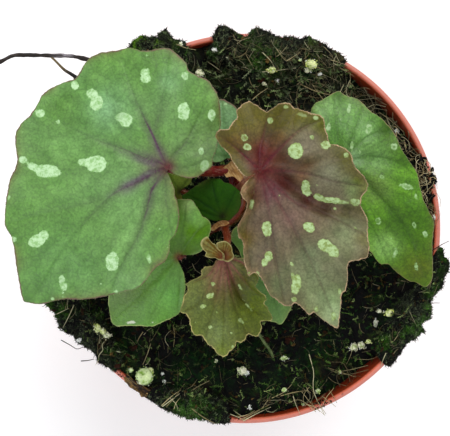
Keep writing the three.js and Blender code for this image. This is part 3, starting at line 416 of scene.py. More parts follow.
# Leaves: the same plan outlines and heights as the solids have.
LEAVES = {
    "big_green": dict(
        joint=(168, 168), hub=(156.5, 153.5), z=134, slope=(0.07, 0.02), droop=1.6,
        folds=[(153, 0.9, 16), (200, 0.9, 14), (108, 0.8, 14), (45, 0.6, 14), (253, 0.7, 12)],
        wave=(1, 7, 0.6), size=(64, 520),
        outline="""168.5 169.5 173 173 180 176 190 178 198 176 206 171 211.5 166 212.5 159 216 149 219 138
        220.5 122 219.5 104 216 92 207 80 197 75.5 189 71 186 64 178 55 169 49 161 48.5 148 51 139 50.5
        130 48 115 51 100 53 90 58 82.5 68 76.5 78 66 82 53 87.5 43.5 94 37.5 105 30.5 115 22 123
        16.5 132 15.8 143 17.5 158 16 167 10.5 179 7 196 5 215 5.5 226 11.5 236.5 14 247 17 268 20 286
        24 300.5 32 303 41 304 52 301.5 63 299 79 299.5 95 298 110 295 125 291 136 288.5 145 281
        152.5 271 157 266.5 165 261 169.5 250 170 240 175 234.5 178.5 224 179 212 177 201 174.8 195
        174.5 189 172 183 169.5 177 167 171.5"""),
    "bronze": dict(
        joint=(260, 171), hub=(272, 163), z=143, slope=(-0.02, 0.03), droop=2.4,
        folds=[(-22, 2.2, 15), (-55, 1, 12), (-85, 0.8, 12), (35, 1, 16), (95, 1.1, 14), (150, 0.8, 14)],
        wave=(1.2, 9, 1.2), curls=[(-122, 3.2, 17)], size=(56, 560),
        outline="""258 171.5 253 174.5 247 176.5 241 173 237 167 233 161 230 155.5 226 150.5 221 146
        217.5 141.5 216.5 135.5 218 130.5 223.5 129.5 229.5 129 232 123 237.5 117.5 236.5 111 241 106
        248.5 101.5 255.5 104.5 262 109.5 267 111.5 275 107 283 102.5 289 103 293.5 107.5 300 110
        308 112 315 114.5 322 117 324.5 122.5 325.5 131.5 328.5 139 330.5 144 337 145 345 148.5
        350.5 154.5 352.5 161 356 168 362 174 366 179.5 368.5 185.5 364.5 193 361 199.5 360.5 205
        364.5 213.5 368 222 367.5 232 368.5 243 369 250.5 367 256.5 360.5 259.5 353.5 261 348.5 262.5
        347.5 267 347.5 276 346.5 285.5 345 290.5 341.5 294 341 303 340 313 339 321 337.5 327.5
        335 327.5 330 324 323 319.5 317 314.5 313.5 312 308.5 314 304 310 299.5 305.5 295.5 303
        290 306 283.5 305.5 277.5 300.5 270 294 266 288 263 281 260 275.5 254 273 248.5 275 246.5 270
        244.5 262 243.5 252 243 241.5 240 239 237.5 231.5 238 225.5 241 219.5 244 214 246.5 207.5
        247 201 243 197.5 241 192 242.5 186.5 247 181 252 177 256 173.5"""),
    "right_green": dict(
        joint=(341, 161), hub=(354, 160), z=114, slope=(-0.16, -0.02), droop=3.2,
        folds=[(92, 1.2, 16), (0, 1.2, 14), (-48, 1.6, 12), (-66, 1.2, 9)],
        wave=(0.8, 8, 0.2), size=(48, 400),
        outline="""338 162 327 158 317 147 311 131 310 118 312 108 316 103 322 100.5 326 97.5 338.5 91.5
        346 96 357 99 362 103 372 112.5 384 121 394 133.5 399.5 146 408 159.5 416.5 172.5 419.5 184
        422 196 428 210 433.5 221 433 234 432 245 432.5 258 432.5 271 432 279 429 284.5 426 286.5
        421.5 285.5 416 282 410 281 402.5 276.5 395.5 271 391 266.5 388 263.5 381 264 376.5 260
        372.5 254 366 248 354 243 340 232 329 215 322 198 320 182 328 171"""),
    "young_olive": dict(
        joint=(223.5, 257), hub=(226, 290), z=120, slope=(0, 0.05), droop=2.6,
        folds=[(-95, 0.9, 14), (-62, 2.2, 13), (-130, 0.8, 14)],
        wave=(0.9, 8, 0.4), size=(34, 380),
        outline="""222.5 257.5 218.5 259.5 215.5 261.5 214.5 264.5 209.5 266 205 267 202 270.5 202 275
        197 278.5 191 280.5 186.5 284.5 188.5 287.5 187.5 291 184 296.5 182.5 302.5 181 308 182 312.5
        186.5 314 188.5 317 190 322.5 192.5 331.5 196.5 335.5 200.5 335.5 203.5 337.5 208 344
        211.5 346 215 350 218.5 354.5 223 356.5 227.5 354 231 350 235.5 345.5 236.5 341.5 241.5 342
        244.5 340 248 334 252.5 335.5 258 336 260.5 332 261.5 327 260.5 321.5 266 321 270.5 320.5
        271.5 318 270.5 313.5 267 307 264 303 266.5 300 265 295.5 261.5 292.5 257 289.5 255 286.5
        258 279.5 256 271 250 264 243.5 259 239 258 234 257 229 257.5 225 258"""),
    "lower_green": dict(
        joint=(178.5, 257), hub=(160, 252), z=114, slope=(0.02, 0.03), droop=2.2,
        folds=[(215, 0.9, 16), (170, 0.8, 16), (262, 0.8, 16), (55, 1.2, 16)],
        wave=(0.6, 6, 0.9), curls=[(25, 2.5, 22)], size=(40, 340),
        outline="""177.5 259 181 266.5 183.5 273 185 281.5 185 290 183.5 299 181.5 307 179.5 312
        176 315.5 169 319 160.5 323 154 325.5 146.5 326 138 325.5 126.5 325.5 119 326 113.5 324
        111 319.5 110 313 108.5 305 108.5 296 110 284 114 270 119 255 127 238 138 224 150 212
        162 204 172 200.5 183 199.5 190.5 199.5 194 203 198 209.5 203 217 208.5 220 210.5 224
        210.5 231 208 238 205 245 202 250.5 196 254 189.5 255 183 255 178.5 255.6"""),
    "middle_dark": dict(
        joint=(222.5, 216), hub=(213, 200), z=107.5, slope=(0, 0.02), droop=2,
        folds=[(135, 0.6, 16)], wave=(0.3, 5, 0), size=(24, 220),
        outline="""182.5 197 187.5 192 195.5 186.5 203 181.5 208 179.5 215 179 220.5 179.5 225.5 183
        231.5 185 235.5 187.5 239.5 191.5 240.5 198 240.5 205.5 238 211.5 234.5 215 231 218.5
        227.5 220.5 221 220 213 220 206 218 199 214 192 209 186 203"""),
    "upper_green": dict(
        joint=(227, 156), hub=(222, 134), z=109, slope=(0, 0.02), droop=2.4,
        folds=[(100, 0.6, 16)], wave=(0.4, 5, 0.7), size=(26, 220),
        outline="""226 158.5 222 161 213 162.5 206 158 201 148 199 135 201 120 206 109 212 103 219 100
        224 99.5 229 102.5 235 107 241 115 245 126 245 139 241 150 236 156 230 158"""),
    "under_bronze": dict(
        joint=(252, 236), hub=(268, 275), z=105.5, slope=(-0.03, 0.02), droop=2.2,
        folds=[(-75, 0.8, 16)], wave=(0.5, 6, 0.3), size=(30, 240),
        outline="""250 234 243 227 236 227 231.5 233 231 239 235 245 239 250 242 259 245 271 247.5 285
        252 300 260 313 268 320 275 322 281 324 286 318 291 307 296 292 300 275 298 258 290 243
        278 232 262 228"""),
    "under_big": dict(
        joint=(180, 191), hub=(162, 190), z=101, slope=(-0.02, 0), droop=2,
        folds=[(170, 0.6, 18)], wave=(0.4, 5, 0.2), size=(24, 200),
        outline="""180 192 182.5 199 178 205 168 210 155 212 143 206 136 195 137 182 145 172 158 167
        172 168 184 171 192 178 189.5 184 184.5 187.5"""),
}

# Main veins, from the joint outwards.
VEINS = {
    "big_green": """168 167 155 172 135 183 112 195 85 222 60 255 38 292 /
        166 165 150 160 125 150 97 140 65 125 40 113 /  165 163 158 148 152 134 144 118 132 90 122 58 /
        152 134 157 122 164 95 168 58 /  169 163 176 153 186 142 200 115 208 92 /
        171 166 185 168 198 164 212 157 /  162 172 152 190 146 213 138 236 122 265 112 290 /
        112 195 80 205 45 213 12 222 /  166 173 165 192 168 212 172 232""",
    "bronze": """260 170 260 150 265 128 268 114 /  258 168 245 156 232 145 220 136 /
        262 168 280 148 300 130 320 120 /  263 171 285 171 308 174 332 181 362 186 /
        263 174 277 187 298 204 330 216 364 235 /  262 175 280 205 300 240 320 282 336 322 /
        261 176 268 205 272 232 275 258 284 300 /  259 175 252 205 247 235 251 268 /
        257 172 249 184 243 193""",
    "right_green": """341 161 337 130 334 97 /  343 160 355 130 362 107 /  344 161 372 156 398 163 416 176 /
        344 165 375 192 403 226 426 276 /  342 167 360 205 378 238 386 260 /  344 158 368 136 390 131 /
        340 168 338 200 350 236 /  340 158 326 140 314 122""",
    "young_olive": """224 257 225.5 275 225 300 224 330 223 352 /  222 258 214 268 208 275 194 282 /
        222 259 211 284 199 303 185 311 /  223 262 216 300 206 336 /  226 258 238 273 250 288 262 297 /
        226 260 236 287 250 308 267 317 /  225 262 233 300 246 332 /  228 257 241 262 253 271""",
    "lower_green": """178 258 160 275 140 295 115 318 /  178 259 167 285 157 305 149 323 /
        179 260 180 285 178 308 /  176 257 150 262 125 275 112 288 /  180 255 190 240 200 229 209 224 /
        179 254 183 230 186 205 /  177 255 160 240 140 227 /  181 256 195 250 204 245""",
    "middle_dark": """222 216 205 204 188 195 /  222 215 216 198 212 182 /  223 215 231 200 236 190 /
        221 217 208 213 194 208""",
    "upper_green": """227 156 224 130 222 102 /  226 156 214 138 204 120 /  228 155 237 138 243 122 /
        225 157 214 153 203 148""",
    "under_bronze": """252 236 262 270 274 300 281 321 /  251 237 250 262 252 292 /  253 237 275 255 294 282 /
        251 235 243 231 234 234""",
    "under_big": """180 191 160 190 140 190 /  180 190 170 178 161 169 /  181 190 186 182 190 177 /
        179 192 168 202 156 209""",
}

# Pale spots: centre, width, height, turn in degrees, strength, hollowness.
SPOTS = {
    "big_green": """145 73 8 12 0 1 0  146 79 11 9 0 1 0  185 76 7 9 -30 0.75 0.3  92 94 11 11 0 1 0
        96 103 13 15 15 1 0  75 85 7 9 -30 1 0  40 113 11 8 30 1 0  58.5 122 5 5 0 0.9 0
        121 117 13 10 0 0.65 0  126 120 14 13 0 0.95 0  184 112 12.5 18 0 1 0.15
        211.6 115 7.5 11 0 0.95 0  23 159.5 9 7 20 1 0  34 167 15 8 25 1 0  47 171 30 13 5 1 0
        96 163.6 21 17 0 1 0  84 163 13 8 0 1 0  201 151 5 7 0 0.7 0  204.5 166.5 9 12 20 0.45 0
        36 241 18 13 -25 1 0  44 235 11 9 -20 1 0  14 239.5 5 6 0 0.8 0  112 262 13.5 19.5 0 1 0
        149 258.6 5 9 -15 0.9 0  62 281 7 12 0 0.95 0.2  63.5 286 8 8 0 0.9 0  101 284 2 2 0 0.9 0
        160 229 2.5 2.5 0 0.9 0  167 248 2 2 0 0.8 0  117 291.5 5 3 0 0.8 0  63 293 2.4 2.4 0 0.9 0
        63 296.5 2.4 2 0 0.9 0  52.7 299 3 2.2 0 0.9 0  22 132 2 2 0 0.8 0  9 198 2 2.6 0 0.8 0
        146.6 55.7 2.4 2.2 0 0.8 0""",
    "bronze": """296 151 15.5 16 0 1 0  305.5 188 9.5 14 10 1 0  307 193 9 6 0 0.9 0  318 197 12 6 18 0.85 0
        330 200 26 7 5 1 0  343 202 8 4 0 0.8 0  356 202 9 6 10 0.9 0.2  244 138 7 7 0 0.8 0.4
        247.5 147 9 7 20 0.85 0.2  270 120 6 6 0 0.8 0.2  286.5 107 5 4 0 0.7 0  302 115 9 4 20 0.35 0
        316 118 5 4 0 0.8 0  323 117.5 4 3 0 0.8 0  312 137 4 4 0 0.8 0  326 145 10 9 0 0.9 0
        346 155 5 5 0 0.8 0  335 209 3.5 3.5 0 0.8 0  267 229 9.5 14.5 0 1 0.1  309 227 12 10 20 1 0
        325 245 14 12 25 1 0  333 251 14 11 40 1 0  268.5 256 8 10 0 1 0  264 263 7 10 25 1 0
        292 264 3.5 3.5 0 0.9 0  296 284 9.5 19 5 1 0  293 278 4 10 0 0.8 0  294 300 4.5 5 0 0.8 0
        316 309 5 5 0 0.9 0  333 316.5 5 7 0 0.95 0  340 292 3.5 5 0 0.8 0  356 228 8 1.8 50 0.7 0
        254 191 2.5 6 10 0.7 0  251.5 204 3 8 10 0.7 0  258 272.7 3 6 -25 0.8 0  249 273 3 3 0 0.8 0
        279 196 1.6 1.6 0 0.7 0  317 185 1.5 1.5 0 0.8 0""",
    "right_green": """329 126 5 8 10 0.9 0.5  369 129 6 10.5 20 0.9 0.7  349 109 3.5 9 10 0.9 0.5
        352 146.5 2.6 7 10 0.9 0  394 147 6 6 0 0.85 0.7  382 177 6 5 10 0.9 0.7  407 187 13.5 6 15 0.9 0.6
        416 196 2.6 6 -20 0.9 0  378 221 7 8 0 0.9 0.8  414 225 5 7 0 0.9 0.8  425 234 5 7 -10 0.9 0.4
        391 239 2.5 2.5 0 0.8 0  395 254 2.8 10 15 0.85 0.3  416 268 2.8 7 5 0.9 0  415 253 2 2 0 0.8 0
        341 119 3 4 0 0.7 0.4  360 152 2.2 3 0 0.7 0""",
    "young_olive": """213 284 4 4 0 0.9 0  210 296 8 6.5 -15 1 0  203 306 5.5 3 -10 0.9 0  210 327 4 4 0 0.8 0
        231 333 3 3 0 0.9 0  239.6 287 5 2 50 0.9 0  248 306 13 2.8 52 0.8 0  241 321 7 2.6 45 0.8 0
        233 347 2 2 0 0.8 0  217 312 1.6 1.6 0 0.7 0  196 322 2 2 0 0.6 0""",
    "lower_green": "132 322.5 9 2.4 3 0.9 0  153 322.5 5 2 -5 0.8 0",
    "upper_green": "226 104 4 3.4 10 1 0",
}

# How each leaf is coloured: base and second green, its heart at the joint, its veins with their strength
# and how far out (mm) that colour runs, how deep the veins lie (mm), which also paints shade along them,
# and how much it is streaked along them. Sheen bands are painted sheen that fans out from the joint.
# Gains are the strength and reach of each main vein's colour. Washes have u, v, reach in px, colour and
# strength; they are patches of the leaf's own colour, painted highlights and sheen, and painted shade.
# Bulges have u, v, reach in px and rise in mm; creases a line, its depth and half width in mm, its colour
# and strength, the colour being painted shade in the fold, or on the big leaf a painted highlight along
# the main vein and the upper-left vein's own purple.
PLAIN_LOOK = dict(vein_share=0.3, vein_mm=20, far_share=0.3, groove=0.12, streak=0.05, halo=0.5, sheen_bands=0,
                  patchy=0.07, teeth=0.42, worn=0.4, creases=[])
LOOKS = {
    "big_green": dict(
        base=(103, 149, 74), alt=(117, 161, 94), heart=(92, 0, 46), heart_mm=2.4, vein=(86, 60, 82),
        vein_share=1.0, vein_mm=17, halo=0.8, patchy=0.19, far=(88, 134, 72), far_share=0.28, groove=0.2,
        streak=0.1, worn=0.75,
        gains="1 1.3  0.75 1.1  0.9 1  0.45 0.5  0.3 0.8  0.2 0.5  0.75 1.5  0.2 1  0.3 0.7",
        # The lilac wash at 128 186 is a painted highlight on the main vein.
        washes_and_painted_light="""154 163 17 112 102 88 0.6  70 262 50 112 160 98 0.45  205 145 26 114 136 92 0.5
            110 110 24 130 176 122 0.8  170 82 12 134 182 124 0.7  130 280 24 126 166 106 0.6
            55 301 5 112 112 74 0.6  128 186 9 140 136 140 0.35  165 205 16 120 148 92 0.5
            45 170 34 108 154 78 0.6  120 240 26 122 168 94 0.6  165 110 26 120 158 102 0.5
            160 266 6 128 126 88 0.6  60 222 20 100 146 76 0.5  80 140 24 104 152 80 0.4""",
        bulges="70 200 42 0.7  150 95 30 0.6  110 250 30 0.6  100 120 26 0.5  198 110 20 0.4  60 140 26 -0.4",
        # The first crease is a painted highlight along the main vein; the second is the upper-left vein's own
        # purple.
        creases=[([(158, 169), (140, 178.5), (120, 189), (108, 196)], 0.0, 0.6, (138, 130, 142), 0.65),
                 ([(160, 167), (140, 160), (118, 153)], 0.0, 0.8, (104, 86, 104), 0.6)]),
    "bronze": dict(
        base=(116, 102, 84), alt=(122, 115, 94), heart=(92, 0, 38), heart_mm=2.6, vein=(98, 18, 54),
        vein_share=0.85, vein_mm=11, far=(98, 62, 72), far_share=0.25, groove=0.3, streak=0.13, patchy=0.13,
        teeth=0.85, gains="0.8 1  1 1  0.9 1  1 0.8  0.8 1  0.7 1  0.5 0.9  0.5 0.8  0.8 1",
        # Painted light among these washes: 306 144, 332 172 and 345 238 are painted sheen on the bulges; 283
        # 158, 286 183, 306 200, 326 209 and 346 212 add painted shade to the folds' own dark colour.
        washes_and_painted_light="""266 170 18 120 22 42 0.85  272 194 13 122 84 96 0.6  232 140 22 104 80 48 0.9
            250 120 20 112 104 58 0.95  278 118 22 94 88 42 1  284 110 10 74 70 18 0.9
            262 152 13 104 40 30 0.9  280 138 8 100 70 44 0.7  300 118 16 98 92 42 0.9
            320 122 13 98 106 40 0.9  283 158 13 88 56 22 0.9  306 160 12 90 74 36 0.8
            306 144 15 132 124 104 0.85  332 172 11 146 146 118 0.95  346 160 13 92 94 36 0.9
            356 182 8 84 92 36 0.9  366 187 5 146 152 92 0.8  346 181 7 128 138 98 0.6
            286 183 12 78 34 20 0.9  302 176 8 136 100 76 0.85  306 200 9 66 40 18 0.9
            326 209 9 64 52 20 0.9  346 212 8 74 68 30 0.85  353 194 9 136 154 104 0.85
            249 198 13 104 60 32 0.85  259 228 19 104 84 74 0.75  244 238 11 104 86 38 0.85
            290 216 17 132 104 96 0.7  345 238 20 132 142 104 0.85  314 268 26 122 138 102 0.8
            326 302 22 140 160 112 0.95  334 314 10 168 190 140 0.8  280 288 16 102 114 82 0.9
            362 240 8 112 106 64 0.6""",
        bulges="""304 146 20 1.9  334 178 13 1.6  298 236 34 1.2  240 134 16 0.8  262 140 11 -1
            252 222 14 -0.6  335 262 22 0.9  284 122 12 0.3  310 296 18 0.7  355 232 12 -0.8
            288 162 9 -0.7  350 196 8 0.6""",
        # The creases' colours are painted shade in the folds, over the folds' own dark colour.
        creases=[([(262, 172), (280, 177), (297, 191), (320, 206), (345, 211), (364, 216)], 1.8, 2.0,
                  (82, 42, 6), 0.6),
                 ([(262, 170), (268, 150), (270, 128), (268, 112)], 0.8, 1.6, (80, 40, 20), 0.4),
                 ([(264, 171), (282, 162), (302, 165), (326, 160), (348, 158)], 0.7, 1.7,
                  (84, 52, 24), 0.5)]),
    "right_green": dict(
        base=(82, 124, 24), alt=(98, 148, 52), heart=(84, 70, 30), heart_mm=2.0, vein=(66, 108, 34),
        vein_mm=40, far=(70, 110, 30), far_share=0.2, groove=0.22, streak=0.11, sheen_bands=0.22, patchy=0.12,
        # Painted light among these washes: 345 120, 366 134 and 327 108 paint the glossy sheen of the upper
        # part, and 355 159 is painted light where the bronze leaf casts its shadow.
        washes_and_painted_light="""345 120 34 114 164 88 0.9  368 150 24 116 160 86 0.85  388 130 10 72 106 4 0.9
            416 270 20 100 114 30 0.8  327 108 12 158 204 128 0.9  355 159 9 146 188 130 0.9
            378 161 11 136 184 108 0.8  386 195 9 108 152 68 0.8  400 228 16 70 108 20 0.7
            374 186 14 138 172 88 0.85  384 246 13 142 188 102 0.9  366 134 10 130 178 106 0.8
            375 216 9 76 120 30 0.6""",
        bulges="""345 120 18 0.7  372 142 16 0.8  385 182 16 0.8  368 220 16 0.7  405 215 14 0.6
            412 258 12 0.6  330 150 12 -0.5""",
        creases=[([(343, 163), (376, 192), (404, 228), (426, 276)], 0.45, 1.4, (70, 104, 24), 0.22)]),
    "young_olive": dict(
        base=(106, 118, 58), alt=(116, 134, 78), heart=(152, 78, 80), heart_mm=2.0, vein=(150, 92, 90),
        vein_share=0.75, vein_mm=8, far=(88, 84, 34), far_share=0.22, groove=0.24, streak=0.12, teeth=0.8,
        # The dark washes at 246 276 and 240 298, and the crease's colour, are painted shade in the fold of
        # the right half.
        washes_and_painted_light="""204 304 22 106 118 68 0.6  252 304 20 108 124 22 0.95  220 277 15 158 122 98 0.85
            218 335 15 128 144 92 0.8  224 350 10 120 140 56 0.7  226 296 12 118 104 66 0.6
            246 276 12 92 94 30 0.7  240 298 9 86 88 24 0.6""",
        bulges="205 300 14 0.7  222 325 14 0.7  240 284 9 -0.6  250 315 11 0.5  214 275 8 0.5",
        creases=[([(227, 259), (236, 286), (246, 330)], 0.5, 1.3, (84, 80, 26), 0.15)]),
    "lower_green": dict(
        base=(104, 154, 66), alt=(110, 160, 78), heart=(120, 60, 50), heart_mm=1.4, vein=(84, 126, 56),
        far=(84, 128, 54), far_share=0.2,
        # The pale washes at 189 206, 200 221 and 194 216 are a painted highlight on the upper lobe; the dark
        # one at 182 250 is painted shade under the big leaf's edge.
        washes_and_painted_light="""196 226 17 118 176 50 0.95  189 206 7 206 255 158 0.95  200 221 6 176 240 120 0.7
            182 250 10 84 122 34 0.7  124 288 20 132 152 96 0.7  172 292 18 122 186 92 0.7
            194 216 9 166 232 124 0.75""",
        bulges="190 210 9 1.2  198 232 9 -0.7  150 300 20 0.5  172 285 12 0.5"),
    "middle_dark": dict(
        base=(58, 104, 2), alt=(66, 114, 4), heart=(50, 50, 20), heart_mm=1.0, vein=(30, 58, 14),
        far=(42, 84, 4), groove=0.1, washes_and_painted_light="208 184 8 60 104 36 0.6  225 216 8 90 96 30 0.5",
        bulges="205 198 12 0.5"),
    "upper_green": dict(
        base=(130, 176, 120), alt=(136, 182, 124), heart=(60, 100, 50), heart_mm=1.5, vein=(100, 146, 90),
        far=(100, 146, 84), washes_and_painted_light="222 152 12 90 134 60 0.6", bulges="225 120 12 0.4"),
    "under_bronze": dict(
        base=(114, 160, 82), alt=(120, 168, 94), heart=(60, 100, 50), heart_mm=1.5, vein=(84, 124, 66),
        far=(84, 124, 62), washes_and_painted_light="236 238 12 70 120 40 0.6", bulges="280 305 10 0.4"),
    "under_big": dict(
        base=(118, 148, 62), alt=(126, 156, 70), heart=(60, 60, 30), heart_mm=1.2, vein=(58, 82, 26),
        far=(58, 82, 26), washes_and_painted_light="178 198 8 104 92 44 0.6", bulges="176 185 8 0.4"),
}

# Colours of the pale spots, their flecks, the margin and the underside; then the width of the margin's
# line in mm, roughness, depth of the net of cells, gloss and mottling.
SKINS = {
    "big_green": leaf_material(
        "leaf_satin", "156 204 130  208 244 192  120 98 84  150 96 78", 0.46, 0.46, 0.09, mottle=0.17),
    "bronze": leaf_material(
        "leaf_bronze", "148 168 96  194 222 162  208 176 140  160 106 74", 0.34, 0.46, 0.1, 0.2, 0.18),
    "right_green": leaf_material(
        "leaf_glossy", "146 190 116  192 226 170  150 136 88  120 120 66", 0.17, 0.36, 0.12, 0.28, 0.22),
    "young_olive": leaf_material(
        "leaf_olive", "164 192 112  206 226 166  206 194 124  168 136 84", 0.29, 0.46, 0.12, 0.22, 0.22),
    "lower_green": leaf_material(
        "leaf_lower", "222 232 200  240 246 226  176 196 118  130 110 72", 0.26, 0.4, 0.05),
    "middle_dark": leaf_material(
        "leaf_shaded", "160 190 130  190 214 160  60 84 30  110 90 60", 0.2, 0.6, 0.05, 0.12),
}
SKIN_OF = {"upper_green": "big_green", "under_bronze": "lower_green", "under_big": "middle_dark"}
LEAF_SLOT = {"big_green": "leaf_green", "upper_green": "leaf_green", "bronze": "leaf_bronze",
             "right_green": "leaf_bright", "lower_green": "leaf_bright", "under_bronze": "leaf_bright",
             "young_olive": "leaf_olive", "middle_dark": "leaf_dark", "under_big": "leaf_dark"}


def nearness(bearing, at, width):
    away = np.radians(at) - bearing
    return np.exp(-(np.arctan2(np.sin(away), np.cos(away)) / radians(width)) ** 2)


def blade_height(leaf, u, v, t):
    x, y = (u - leaf["joint"][0]) * LEAF_PX, (leaf["joint"][1] - v) * LEAF_PX
    out, bearing = np.hypot(x, y), np.arctan2(y, x)
    z = leaf["z"] + leaf["slope"][0] * x + leaf["slope"][1] * y - leaf["droop"] * (out / 30) ** 2
    for at, depth, width in leaf["folds"]:
        z = z - depth * nearness(bearing, at, width) * np.minimum(1, out / 12)
    for at, rise, width in leaf.get("curls", []):
        z = z + rise * nearness(bearing, at, width) * step(t, 0.5, 1) * np.minimum(1, out / 6)
    size, waves, phase = leaf["wave"]
    return z + size * t ** 3 * step(out, 3, 18) * np.sin(waves * bearing + phase)


def to_segments(p, line):
    """Distance in px from each point to a line of points, and how far along it the nearest place is."""
    line = np.asarray(line, float)
    best, along, run = np.full(len(p), FAR), np.zeros(len(p)), 0.0
    for a, b in zip(line[:-1], line[1:]):
        ab = b - a
        length = norm(ab)
        t = np.clip(((p - a) @ ab) / (length ** 2 + 1e-9), 0, 1)
        d = norm(p - a - t[:, None] * ab, axis=1)
        closer = d < best
        best = np.where(closer, d, best)
        along = np.where(closer, run + t * length, along)
        run += length
    return best, along, run


def side_veins(lines, pitch):
    """Smaller veins that leave the main ones on both sides and bend towards their tips."""
    out = []
    for line in lines:
        path = open_curve(line, 60)
        s = np.concatenate([[0], np.cumsum(norm(np.diff(path, axis=0), axis=1))])
        at, sign = pitch * 0.9, 1
        while at < s[-1] * 0.93:
            i = min(int(np.searchsorted(s, at)), 58)
            ahead = unit(path[i + 1] - path[i])
            across = np.array([-ahead[1], ahead[0]]) * sign
            reach = pitch * (0.9 + 1.3 * sin(pi * min(1, at / s[-1])))
            a = path[i]
            out.append([a, a + reach * (0.45 * across + 0.4 * ahead),
                        a + reach * (0.75 * across + 0.95 * ahead)])
            at += pitch * vary(0.42, 0.25)
            sign = -sign
    return out


